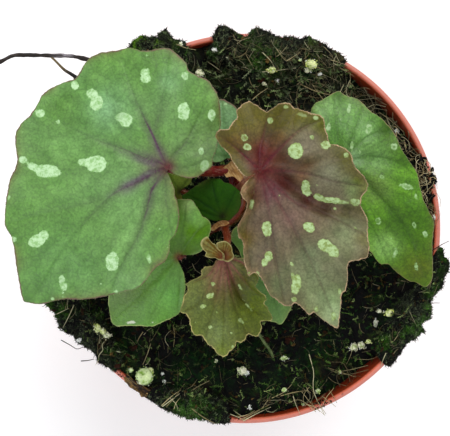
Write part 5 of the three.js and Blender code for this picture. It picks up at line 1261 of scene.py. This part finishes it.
# Moss shoots: a bent axis with small leaflets on both sides.
FRONDS = 8600
_, roots = scatter(FRONDS)
fronds = Heap()
under = ground_tint(roots)
dry = dryness(roots)
KINDS = [(0.13, rgb(140, 160, 100)), (0.36, rgb(86, 114, 62)), (0.62, rgb(40, 62, 40)),
         (0.84, rgb(26, 34, 36)), (0.92, rgb(30, 50, 44)), (1.0, rgb(82, 70, 50))]
along = np.array([0, 0.35, 0.7, 1.0])
for i, root in enumerate(roots):
    outer = step(np.hypot(root[0], root[1]), RIM_R - 5, RIM_R - 1)
    length = vary(1.2, 3.6, 1.6) * (1 - 0.72 * outer)
    way = unit(np.array([*rng.normal(0, 1, 2), vary(0.2, 0.9)]), 0)
    bend = rng.normal(0, 0.35, 3) - [0, 0, 0.2]
    across = unit(np.array([-way[1], way[0], rng.normal(0, 0.3)]))
    kind = rng.random()
    lit = next(c for limit, c in KINDS if kind <= limit)
    lit = mix(lit, rgb(136, 146, 112), dry[i] * 0.8 * rng.random())
    lit = lit * vary(0.3, 1.6, 2) * (1 + 0.3 * dry[i]) * (1 - 0.25 * float(root[0] < -30))
    path = root - [0, 0, 0.25] + length * (along[:, None] * way + 0.4 * along[:, None] ** 2 * bend)
    path[:, 2] = np.maximum(path[:, 2], root[2] - 0.2)
    width = (0.16 - 0.1 * along)[:, None] * across
    strip = np.concatenate([path - width, path + width])
    # Painted light: each shoot fades from the ground's colour at its root (painted shade) to its lit colour
    # at the tip.
    fronds.add(strip, [[k, k + 1, k + 5, k + 4] for k in range(3)], mix(under[i], lit, np.tile(along, 2)))
    at = np.linspace(0.25, 0.95, 9)
    spots = root - [0, 0, 0.25] + length * (at[:, None] * way + 0.4 * at[:, None] ** 2 * bend)
    spots[:, 2] = np.maximum(spots[:, 2], root[2] - 0.1)
    sign = np.where(np.arange(9) % 2, 1.0, -1.0)[:, None]
    size = ((0.85 - 0.45 * at) * (0.7 + 0.5 * rng.random(9)))[:, None] * (1 - 0.4 * outer)
    tips = spots + (across * sign * 0.8 + way * 0.6 + rng.normal(0, 0.25, (9, 3))) * size
    leaflets = np.stack([spots - way * 0.15, tips, spots + way * 0.17], 1).reshape(-1, 3)
    # Each leaflet is painted lighter at its tip and darker at its base (painted highlight and shade).
    fronds.add(leaflets, triangles(9), lit * np.tile([[0.6], [1.3], [0.6]], (9, 1)))
fronds.make("moss_shoots", shoot_skin, "moss", False)

# Short pointed leaflets all over the cushions.
tufts = Heap()
for name, (hub, _, _) in MATS.items():
    angles, radii, loop = mat_polar[name]
    count = int(46 * np.mean(radii))
    a, t = rng.uniform(-pi, pi, count), np.sqrt(rng.random(count)) * 0.99
    reach = t * np.interp(a, angles, radii, period=2 * pi)
    u, v = hub[0] + reach * np.cos(a), hub[1] + reach * np.sin(a)
    roots = from_view(u, v, mat_top(name, u, v, t))
    ground = moss_tint(roots, name)
    for root, tint in zip(roots, ground):
        lit = mix(tint * 2.1, rgb(126, 140, 108), 0.6 * rng.random() ** 2.5) * vary(0.3, 1.9, 2)
        way = rng.normal(0, 1, (6, 3))
        way[:, 2] = 0.25 + np.abs(way[:, 2]) * 0.6
        grown = 1 + 1.0 * float(black_lump(root[None])[0])
        way *= (grown * rng.uniform(0.5, 1.25, 6) / norm(way, axis=1))[:, None]
        across = np.cross(way, [0.0, 0.0, 1.0]) * 0.12
        shape = np.stack([root - across, root + across, root + way], 1).reshape(-1, 3) - [0, 0, 0.12]
        # Each leaflet is painted darker at its base and lighter at its tip (painted shade and highlight).
        tufts.add(shape, triangles(6), lit * np.tile([[0.6], [0.6], [1.3]], (6, 1)))
    # Loose ends that stand out from the outline.
    size = norm(np.roll(loop, -1, 0) - loop, axis=1)
    for k in np.repeat(np.arange(len(loop)), 3):
        if rng.random() > size[k] * 0.9:
            continue
        out = unit(loop[k] - hub, 0)
        spread = out + rng.normal(0, 0.6, 2)
        u, v = loop[k] - out * rng.uniform(0.5, 2.5) + rng.normal(0, 0.4, 2)
        root = from_view(u, v, float(mat_top(name, u, v, 0.96)) - rng.uniform(0, 2.2))
        way = np.array([spread[0], -spread[1], rng.normal(-0.1, 0.55)])
        way *= vary(0.3, 1.3, 2) / norm(way)
        across = np.cross(way, [0.0, 0.0, 1.0])
        across *= rng.uniform(0.05, 0.12) / (norm(across) + 1e-9)
        lit = (rgb(30, 32, 26), rgb(44, 50, 34), rgb(76, 66, 48))[rng.integers(0, 3)] * vary(0.5, 0.8)
        bent = root + 0.55 * way + rng.normal(0, 0.12, 3)
        blade_of = [root - across, root + across, bent + 0.7 * across, bent - 0.7 * across, root + way]
        tufts.add(np.stack(blade_of), [[0, 1, 2, 3], [3, 2, 4]], lit)
tufts.make("moss_leaflets", shoot_skin, "moss", False)

# Crumbs of peat and bark.
golden = (1 + 5 ** 0.5) / 2
ICO = np.array([(a, b, 0) for b in (golden, -golden) for a in (-1, 1)]
               + [(0, a, b) for b in (golden, -golden) for a in (-1, 1)]
               + [(b, 0, a) for b in (golden, -golden) for a in (-1, 1)]) / 1.902
ICO_FACES = rows("""0 11 5 0 5 1 0 1 7 0 7 10 0 10 11 1 5 9 5 11 4 11 10 2 10 7 6 7 1 8 3 9 4 3 4 2 3 2 6
    3 6 8 3 8 9 4 9 5 2 4 11 6 2 10 8 6 7 9 8 1""", 3).astype(int).tolist()


def lump(low, spread):
    return ICO * (low + spread * rng.random((12, 1)))


def turn_matrix():
    q = rng.normal(0, 1, 4)
    w, x, y, z = q / norm(q)
    return np.array([[1 - 2 * (y * y + z * z), 2 * (x * y - z * w), 2 * (x * z + y * w)],
                     [2 * (x * y + z * w), 1 - 2 * (x * x + z * z), 2 * (y * z - x * w)],
                     [2 * (x * z - y * w), 2 * (y * z + x * w), 1 - 2 * (x * x + y * y)]])


crumbs = Heap()


def drop(shape, place, tint, low, spread):
    """Adds a crumb that is turned at random and more or less bright."""
    crumbs.add(shape @ turn_matrix().T + place, ICO_FACES, tint * (low + spread * rng.random()))


for root in scatter(2600)[1]:
    size = vary(0.2, 0.75, 2.4)
    shape = lump(0.75, 0.5) * size * [1, vary(0.5, 0.5), vary(0.35, 0.4)]
    kind = rng.random()
    tint = rgb(104, 84, 58) if kind > 0.9 else rgb(58, 46, 34) if kind > 0.55 else rgb(26, 27, 24)
    drop(shape, root + [0, 0, 0.15 * size], tint, 0.5, 0.9)
# Crumbs in heaps: middle, spreads in px and count.
SPILLS = rows("320 404 6 4 120  236 416 6 3 50  132 389 6 4 60  118 375 4 4 70  152 399 6 4 50", 5)
for u, v, du, dv, count in SPILLS:
    for _ in range(int(count)):
        at_u, at_v = u + du * rng.normal(), v + dv * rng.normal()
        place = from_view(at_u, at_v, POT_H)
        far = hypot(place[0], place[1])
        if far > RIM_R - 0.4 or LIP_IN_R - 2.5 < far < LIP_IN_R - 0.8:
            continue
        size = vary(0.12, 0.3, 2)
        shape = lump(0.7, 0.6) * size * [1, 0.7, 0.6]
        place[2] = (POT_H if far > LIP_IN_R - 0.8 else surface_at(at_u, at_v)) + 0.35 * size
        drop(shape, place, rgb(96, 76, 54) if rng.random() > 0.8 else rgb(30, 28, 24), 0.5, 0.9)
# Dark clods that lie against the pot's right side, some of them over the lip.
CLODS = []
for _ in range(120):
    a = rng.uniform(1.5, 27)
    reach = 57.2 + 3.1 * exp(-((a - 16.5) / 6) ** 2) - rng.uniform(0, 6) ** 1.1
    a = radians(a)
    spot = np.array(polar(reach, a))
    z = mix_top(*spot)
    place = np.array([*spot, max(z, POT_H - 0.1) if reach > LIP_IN_R - 1.2 else z + 0.4])
    size = rng.uniform(0.5, 1.25)
    CLODS.append((place, size))
    drop(lump(0.75, 0.5) * size * [1, 1, 0.6], place, rgb(24, 23, 20), 0.6, 0.8)
    for _ in range(14):
        way = rng.normal(0, 1, 3)
        way = way * [1, 1, 0.6] / norm(way)
        bit = lump(0.7, 0.6) * rng.uniform(0.12, 0.32)
        tint = rgb(92, 74, 54) if rng.random() > 0.85 else rgb(30, 29, 24)
        crumbs.add(bit @ turn_matrix().T + place + way * size * rng.uniform(0.8, 1.15), ICO_FACES,
                   tint * vary(0.5, 1.0))
CHIPS = rows("""290 340 13 7 20  268 340 10 6 -30  262 349 8 5 10  134 348 9 6 30  127 356 8 5 -20
    262 78 12 8 40  118 366 8 5 10  346 384 8 4 -30""", 5)
for u, v, w, h, turn in CHIPS:
    c, s = cos(radians(turn)), sin(radians(turn))
    shape = lump(0.8, 0.4) * [w * PX / 2, h * PX / 2, 0.5] @ np.array([[c, s, 0], [-s, c, 0], [0, 0, 1]])
    place = from_view(u, v, surface_at(u, v) + 0.35)
    crumbs.add(shape + place, ICO_FACES, rgb(64, 44, 32) * vary(0.7, 0.5))
crumbs.make("peat_crumbs", mix_skin, "peat_mix", False)

# Dry rootlets and straw.
fibre_skin = tinted("dry_fibre", 0.6, 0.25, 900.0, 0.2)
fibres = Heap()


def lay(points_uv, radius, lift, tint, sides=4, knots=0.0, steps=12):
    """A fibre that follows the ground through plan points, arched between its ends."""
    uv = open_curve(points_uv, steps)
    height, on_mat = surface(*uv.T)
    place = from_view(*uv.T, height)
    over_rim = (np.hypot(place[:, 0], place[:, 1]) > LIP_IN_R - 1.0) & ~on_mat
    height = np.where(over_rim, POT_H, height)
    height = np.convolve(np.pad(height, 2, mode="edge"), np.ones(5) / 5, mode="valid")
    s = np.linspace(0, 1, steps)
    path = from_view(*uv.T, height + radius + lift * np.sin(pi * s) + 0.15)
    path = path + rng.normal(0, knots, path.shape)
    points, faces, along = tube(path, radius * (1 - 0.45 * s), sides)
    fibres.add(points, faces, mix(tint, tint * 0.75, along))


def thread(path, radius, sides, tint):
    points, faces, _ = tube(path, radius, sides)
    fibres.add(points, faces, tint)


# The radius in mm and the course of each straw that stands out in the photo.
STRAWS = """0.22 74 305 69 316 63 327.5 /  0.18 53 316 61 312 69.5 308 /  0.22 173 323 174.5 335 173.5 347 /
    0.2 143.6 331 139 338 136.4 344.5 /  0.22 150.7 343.6 147 355 142.7 365 /
    0.22 106 340 102 345 103 350 99 355 98.5 360 95.5 365 /  0.26 161.5 405.6 172 396 184 388 /
    0.22 162.5 406.5 174 398 183 391 /  0.18 166 407 176 396 181 388 /  0.2 174 409 176 403 180 398 /
    0.16 170 398 176 404 178 410 /  0.2 188 393 199 386 211 380 /  0.3 191 408 203 417 216 424 /
    0.3 241 420 257 411 270.5 404 /  0.24 243 421 258 413 271 407 /  0.2 238 417 249 414 258 408 /
    0.2 230 414 240 418 246 421 /  0.16 233 410 240 415 250 420 /  0.18 268 400 262 408 254 414 /
    0.25 309 354 313.6 372 313.6 391 324.4 415 /  0.25 280 396 296 392 312.5 390 /
    0.2 293 396 296 405 300.6 415 /  0.24 313 391 318 402 326 414 /  0.16 306 404 316 408 325 415.5 /
    0.16 322 396 330 402 336 407 /  0.22 329 390 333 396 337 403 /  0.22 386 353 383 360 381 366 /
    0.25 300 84 318 92 345 98 /  0.28 330 106 338 96 344 84 /  0.2 312 84 322 98 330 108 /
    0.2 350 80 346 92 352 100 /  0.2 386 116 392 128 402 136 /  0.2 404 140 408 152 416 160 /
    0.2 420 168 426 180 428 196 /  0.22 262 52 270 60 275 68 /  0.22 252 100 259 94 268 88 /
    0.2 205 60 214 66 222 72 /  0.2 285 62 293 57 300 52 /  0.25 262 72 280 70 296 68 /
    0.2 176 44 186 48 196 50 /  0.16 316 412 300 400 286 404 /  0.16 302 392 310 402 320 412 /
    0.16 334 388 326 398 322 408 /  0.2 272 398 284 392 292 384"""
DARK_ROOTS = """0.24 61 340 70 345 77 349 83 347 /  0.26 81 361 88 360.5 94 359 /
    0.22 433 250 441 245 449 241 /  0.22 428 304 434 303 440 303"""
BARK_STRIP = rows("122.5 380.5  133 389.5  146 397.5  161 404.5", 2)
STRAW = [rgb(188, 174, 132), rgb(208, 202, 162), rgb(158, 144, 106), rgb(112, 102, 74)]
for text in STRAWS.split("/"):
    radius, *line = map(float, text.split())
    lay(np.reshape(line, (-1, 2)), 0.62 * radius, 0.5, STRAW[rng.integers(0, 3)] * rng.uniform(0.95, 1.4), 6)
for text in DARK_ROOTS.split("/"):
    radius, *line = map(float, text.split())
    lay(np.reshape(line, (-1, 2)), 0.7 * radius, 0.3, rgb(62, 60, 56), 6)
for shift, radius, tint in ((2.4, 0.85, rgb(116, 90, 60)), (4.8, 0.8, rgb(52, 42, 32))):
    path = open_curve([from_view(u + 0.6 * shift, v - shift, POT_H) for u, v in BARK_STRIP], 40)
    points, faces, _ = tube(path, radius * (1 - 0.7 * np.abs(np.linspace(-1, 1, 40)) ** 4), 12)
    points = points + 0.42 * fbm(points * [0.6, 1, 1], 0.9, 3, 99)[:, None]
    points[:, 2] = POT_H + 0.15 + 0.45 * (points[:, 2] - POT_H)
    fibres.add(points, faces, tint * (0.35 + 1.2 * step(fbm(points, 0.8, 3, 98), -0.5, 0.6))[:, None])
for k in range(26):
    shift, a = rng.uniform(0.6, 6.5), rng.integers(0, 30)
    path = open_curve([from_view(u + 0.6 * shift, v - shift, POT_H + 0.45) for u, v in BARK_STRIP], 48)
    path = path[a:a + rng.integers(8, 18)]
    path = path + rng.normal(0, 0.07, path.shape) + rng.normal(0, 0.12, 3)
    tint = (rgb(176, 146, 98), rgb(110, 84, 56), rgb(64, 50, 36))[rng.integers(0, 3)]
    thread(path, rng.uniform(0.07, 0.18), 4, tint * vary(0.7, 0.5))
# Tufts where many dead roots lie together: middle, count, spread, bearing and its spread.
TUFTS = rows("""308 398 44 16 -60 50  262 406 14 10 25 30  316 410 24 10 20 50  392 346 14 12 50 40
    190 394 12 12 40 30  318 92 50 20 -40 60  345 96 40 16 -50 50  400 140 30 18 -50 50  424 182 26 14 -70 40
    236 52 60 20 20 70  285 50 60 22 -20 70  330 62 70 15 -40 50  300 80 40 20 10 70  66 312 12 10 60 40
    100 348 12 10 80 40  160 350 14 20 60 50""", 6)
starts = [(u, v, rng.uniform(0, 2 * pi), 0.6) for u, v in scatter(560)[0]]
for u, v, count, spread, bearing, fan in TUFTS:
    for _ in range(int(count)):
        du, dv = rng.normal(0, 0.6 * spread, 2)
        starts.append((u + du, v + dv, radians(-bearing + fan * rng.normal(0, 0.7)), 1.0))
for u, v, a, pale in starts:
    length, bend = rng.uniform(5, 22), rng.normal(0, 0.14)
    way, side = np.array([cos(a), sin(a)]), np.array([-sin(a), cos(a)])
    line = np.array([(u, v) + way * length * s + side * length * bend * sin(pi * s)
                     for s in (0, 0.33, 0.66, 1)])
    height, on_mat = surface(*line.T)
    spots = from_view(*line.T, height)
    far = np.hypot(spots[:, 0], spots[:, 1])
    if np.any((far > RIM_R + 0.3) & ~on_mat) or far.max() > RIM_R + 2.5:
        continue
    if np.any((far > LIP_IN_R - 1.5) & ~on_mat) and rng.random() > 0.4 * (pale > 0.9):
        continue
    tint = STRAW[rng.integers(0, 4)] * (0.18 + 1.15 * pale * rng.random() ** 1.8)
    lay(line, vary(0.05, 0.08), 0.7 * rng.random(), tint, 3, 0.04, 8)
# A tangle of curly dead roots among the clods, and down to the mix above and below them.
ROOTS, ON_CLODS = 210, 120
for k in range(ROOTS):
    if k < ON_CLODS:
        place, size = CLODS[rng.integers(0, len(CLODS))]
        start, turn = place + [0, 0, size * 0.7], rng.uniform(0, 2 * pi)
    else:
        a, r = radians(rng.uniform(8, 52)), rng.uniform(50.5, 57.5)
        start = np.array([*polar(r, a), 0])
        start[2] = mix_top(*start[:2]) + rng.uniform(0.5, 1.4)
        turn = a + pi / 2 + rng.normal(0, 0.8)
    curl, path = rng.normal(0, 0.25), [start]
    for _ in range(rng.integers(7, 20)):
        turn, curl = turn + curl, 0.75 * curl + rng.normal(0, 0.22)
        path.append(path[-1] + 0.55 * np.array([cos(turn), sin(turn), rng.normal(0, 0.3)]))
    path = np.array(path)
    far = np.hypot(path[:, 0], path[:, 1])
    if far.max() > (RIM_R + 0.6 if k < ON_CLODS else LIP_IN_R - 0.3):
        continue
    ground = np.where(far > LIP_IN_R - 0.8, POT_H + 0.12, mix_height(path[:, 0], path[:, 1]) + 0.3)
    path[:, 2] = np.clip(path[:, 2], ground, ground + 2.2)
    path[1:-1] = (path[:-2] + 2 * path[1:-1] + path[2:]) / 4
    radius, bright = rng.uniform(0.045, 0.1), rng.random() ** (0.9 if k < ON_CLODS else 2.2)
    thread(path, radius, 4, STRAW[rng.integers(0, 4)] * [1.04, 0.98, 0.98] * (0.2 + 1.3 * bright))
# Dead roots that cling to the pot's inner wall, where the mix has sunk.
for low, high, count in ((-14, 64, 100), (-84, -44, 22)):
    for _ in range(count):
        a = radians(rng.uniform(low, high))
        b = a + rng.normal(0, 0.13)
        foot_r = rng.uniform(49, 54)
        foot = polar(foot_r, a)
        base_z = mix_top(*foot)
        if base_z > POT_H - 4:
            continue
        top_z = rng.uniform(base_z + 2, POT_H - 0.6)
        r = float(inner_radius(top_z)) - 0.25
        between = rng.uniform(0.3, 0.7)
        side = rng.normal(0, 0.05) + a + between * (b - a)
        middle_r = foot_r + between * (r - foot_r) + 0.5
        middle = [*polar(middle_r, side), base_z + between * (top_z - base_z) - 0.5]
        path = open_curve([[*foot, base_z + 0.3], middle, [*polar(r, b), top_z]], 8)
        thread(path, vary(0.05, 0.07), 3, STRAW[rng.integers(0, 4)] * vary(0.2, 0.9, 2))
fibres.make("rootlets_and_straw", fibre_skin, "peat_mix")

# Perlite: popped grains, some of them greened by algae.
n = Nodes("perlite")
fine = n.noise(1800.0, 3.0, 0.6)
pits = n.ramp(n.cells(1100.0, "F1"), 0.15, 0.5)
colour = n.shade(n.attribute("tint", True), n.ramp(fine, 0.3, 0.7, 0.94, 1.08))
colour = n.shade(colour, n.ramp(pits, 0.0, 1.0, 1.04, 0.93))
perlite_skin = n.finish(colour, 0.8, 0.3, n.bump(n.plus(fine, pits), 0.35, 0.2))
# Colours of the grains: white, cream, greenish, yellow, grey.
PERLITE = [rgb(*c) for c in rows(
    "255 255 252 255 254 206 204 234 122 238 250 130 170 172 144", 3)]
# Middle, width and height in px, and which colour.
GRAINS = rows("""199 74 10 9 1  181 44 4 4 1  214.5 50 6 5 0  311 64 13 10 3  308 70 8 6 1  272 70 10 8 3
    277 80 8 7 0  320 74 5 4 0  397 131 5 5 0  434 217 4 6 0  390 313 14 9 3  379 311 5 5 1  376 323 5 9 4
    354 347 11 10 1  362 345 10 8 1  369 341.5 7 5 3  284 358 9 5 2  284 390 6 5 2  242 371 11 9 1
    246.5 373 6 6 0  216 361 4 4 1  249.5 407.5 4 6 0  164 381.6 4 4 0  162.5 373.5 3 3 0  145.5 376 18 18 2
    141 382 9 8 1  150 370 8 7 3  130.6 370 5 5 2  97 328 8 11 3  106 335.5 11 8 1  102 331.5 8 8 3
    79 340 6 5 0  318 391 6 5 2  303 404 4 4 2  264 84 5 4 1  300 60 4 3 2  228 58 3 3 1  340 372 4 4 2
    118 352 4 3 1""", 5)
grains = Heap()
bpy.ops.mesh.primitive_ico_sphere_add(subdivisions=3, radius=1.0)
ball = bpy.context.object
BALL = np.array([v.co[:] for v in ball.data.vertices])
BALL_FACES = [list(f.vertices) for f in ball.data.polygons]
bpy.data.objects.remove(ball)
for u, v, w, h, kind in GRAINS:
    tint = PERLITE[int(kind)]
    size = np.array([w, h, min(w, h) * 0.8]) * PX * 0.42
    centre = from_view(u, v, surface_at(u, v) + 0.3 + 0.35 * size[2])
    pocks = fbm(BALL + int(u), 0.4, 2, 56)
    swell = 0.28 * fbm(BALL + int(u), 0.9, 2, 55) + 0.1 * pocks
    core = BALL * (1 + swell)[:, None] * size * 0.98
    high = mix(tint, rgb(255, 255, 250), 0.35) * 1.12
    grains.add(core + centre, BALL_FACES, mix(tint * [0.4, 0.52, 0.3], high, step(pocks, -0.45, 0.0)))
    for k in range(int(np.clip(w * h * 0.3, 6, 50))):
        way = rng.normal(0, 1, 3)
        way[2] = abs(way[2]) * 0.6
        way /= norm(way)
        bit = ICO * rng.uniform(0.1, 0.26) * (0.7 + 0.6 * rng.random((12, 1)))
        pale = mix(tint, rgb(255, 255, 250), rng.random() ** 2) * vary(0.75, 0.45)
        grains.add(bit + centre + way * size * rng.uniform(0.9, 1.35), ICO_FACES, pale)
grains.make("perlite_grains", perlite_skin, "peat_mix")

# Twig.
TWIG = rows("""160 126 80  150 112 88  136 92 94.5  120 74 97.5  104 63 98.5  88 59.5 98.5  70 56 98
    48 55.5 98  22 55 98  12 56 98  2 61 98  -9 66 97.5""", 3)
SHOOT = rows("50 56 98  55 60.5 98.2  64 69.5 98.6  71 74 98.8  77 78 98.6", 3)
bark = tinted("bark", 0.7, 0.3, 1100.0, 0.3, 0.6, 0.25)
twig = Heap()
TWIG_STEPS = 150
path = course(TWIG, TWIG_STEPS)
t = np.linspace(0, 1, TWIG_STEPS)
points, faces, _ = tube(path, (0.72 + 0.07 * np.sin(t * 47) + 0.05 * np.sin(t * 113)) * (1 - 0.2 * t), 14)
points = points + 0.07 * fbm(points, 1.0, 2, 91)[:, None]
u_of = MIDDLE[0] + (points[:, 0] - EYE[0]) / ((EYE[2] - points[:, 2]) / EYE_ABOVE_RIM * PX)
tint = over(rgb(52, 47, 50), (78, 70, 70, step(noise(points * [0.25, 1, 1], 0.7, 93), -0.2, 0.7)))
# Painted highlight: a pale grey patch along the part of the twig between u 48 and 76.
twig_highlight = step(u_of, 48, 56) * step(u_of, 76, 68) * step(noise(points * [0.3, 1, 1], 0.6, 95), -0.5, 0.3)
twig.add(points, faces, mix(tint, rgb(156, 150, 158), 0.75 * twig_highlight))
path = course(SHOOT, 30)
points, faces, along = tube(path, 0.32 + 0.3 * np.linspace(0, 1, 30) ** 1.5, 9)
twig.add(points, faces, mix(rgb(120, 106, 80), rgb(40, 36, 34), step(along, 0.3, 0.85)))
bud = BALL * [1.0, 0.8, 0.7] * (1 + 0.2 * noise(BALL, 0.6, 5))[:, None]
twig.add(bud + path[-1], BALL_FACES, rgb(34, 32, 28))
obj = twig.make("twig_bark", bark, "twig")
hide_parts("twig")

# Pale stalk.
SPROUT = rows("278 371 78  275.5 364 86  271 352 89.5  264 342 92  258 332 95", 3)
path = course(SPROUT, 40)
radii = 0.52 - 0.12 * np.linspace(0, 1, 40)
points, faces, _ = tube(path, radii, 12)
tint = over(rgb(84, 104, 62), (124, 138, 92, step(noise(points, 1.4, 97), -0.3, 0.6)))
piece("sprout_skin", points, faces, stalk_skin, tint, "sprout", "sprout")
fuzz(path, radii, 8, 0.5, rgb(130, 140, 100))

hair_skin = tinted("hair", 0.5, 0.3, 500.0, 0.1)
hairs.make("fine_hairs", hair_skin, "petiole", False)

# Floor, light, camera.
n = Nodes("paper_floor")
floor_skin = n.finish(n.blend((0.97, 0.97, 0.97), (0.955, 0.957, 0.96), n.noise(3.0)), 0.9, 0.1,
                      Emission_Color=(1.0, 1.0, 1.0), Emission_Strength=0.09)
bpy.ops.mesh.primitive_plane_add(size=6.0, location=(0, 0, 0))
floor = bpy.context.object
floor.name = "floor"
floor.data.materials.append(floor_skin)

world = bpy.data.worlds.new("studio")
bpy.context.scene.world = world
world.use_nodes = True
sky = world.node_tree.nodes["Background"]
sky.inputs["Color"].default_value = (0.93, 0.97, 1.0, 1)
sky.inputs["Strength"].default_value = 0.74


def softbox(name, place, size, power, colour):
    data = bpy.data.lights.new(name, "AREA")
    data.shape, data.size, data.energy, data.color = "DISK", size, power, colour
    obj = bpy.data.objects.new(name, data)
    bpy.context.scene.collection.objects.link(obj)
    obj.location = place
    aim = -obj.location.copy()
    aim.z += 0.1
    obj.rotation_euler = aim.to_track_quat("-Z", "Y").to_euler()


softbox("key", (0.25, 0.75, 1.05), 1.0, 9.4, (1.0, 0.98, 0.95))
softbox("fill", (-0.7, -0.45, 0.95), 0.9, 3.9, (0.95, 0.98, 1.0))

SENSOR, PHOTO_W = 36.0, 450
lens = bpy.data.cameras.new("camera")
lens.sensor_fit = "HORIZONTAL"
lens.sensor_width = SENSOR
lens.lens = SENSOR * EYE_ABOVE_RIM / (PHOTO_W * PX)
lens.clip_start, lens.clip_end = 0.01, 20.0
camera = bpy.data.objects.new("camera", lens)
camera.location = (EYE * 0.001).tolist()
bpy.context.scene.collection.objects.link(camera)
bpy.context.scene.camera = camera
view = bpy.context.scene.view_settings
view.view_transform, view.look, view.exposure, view.gamma = "Standard", "None", 0.0, 1.0
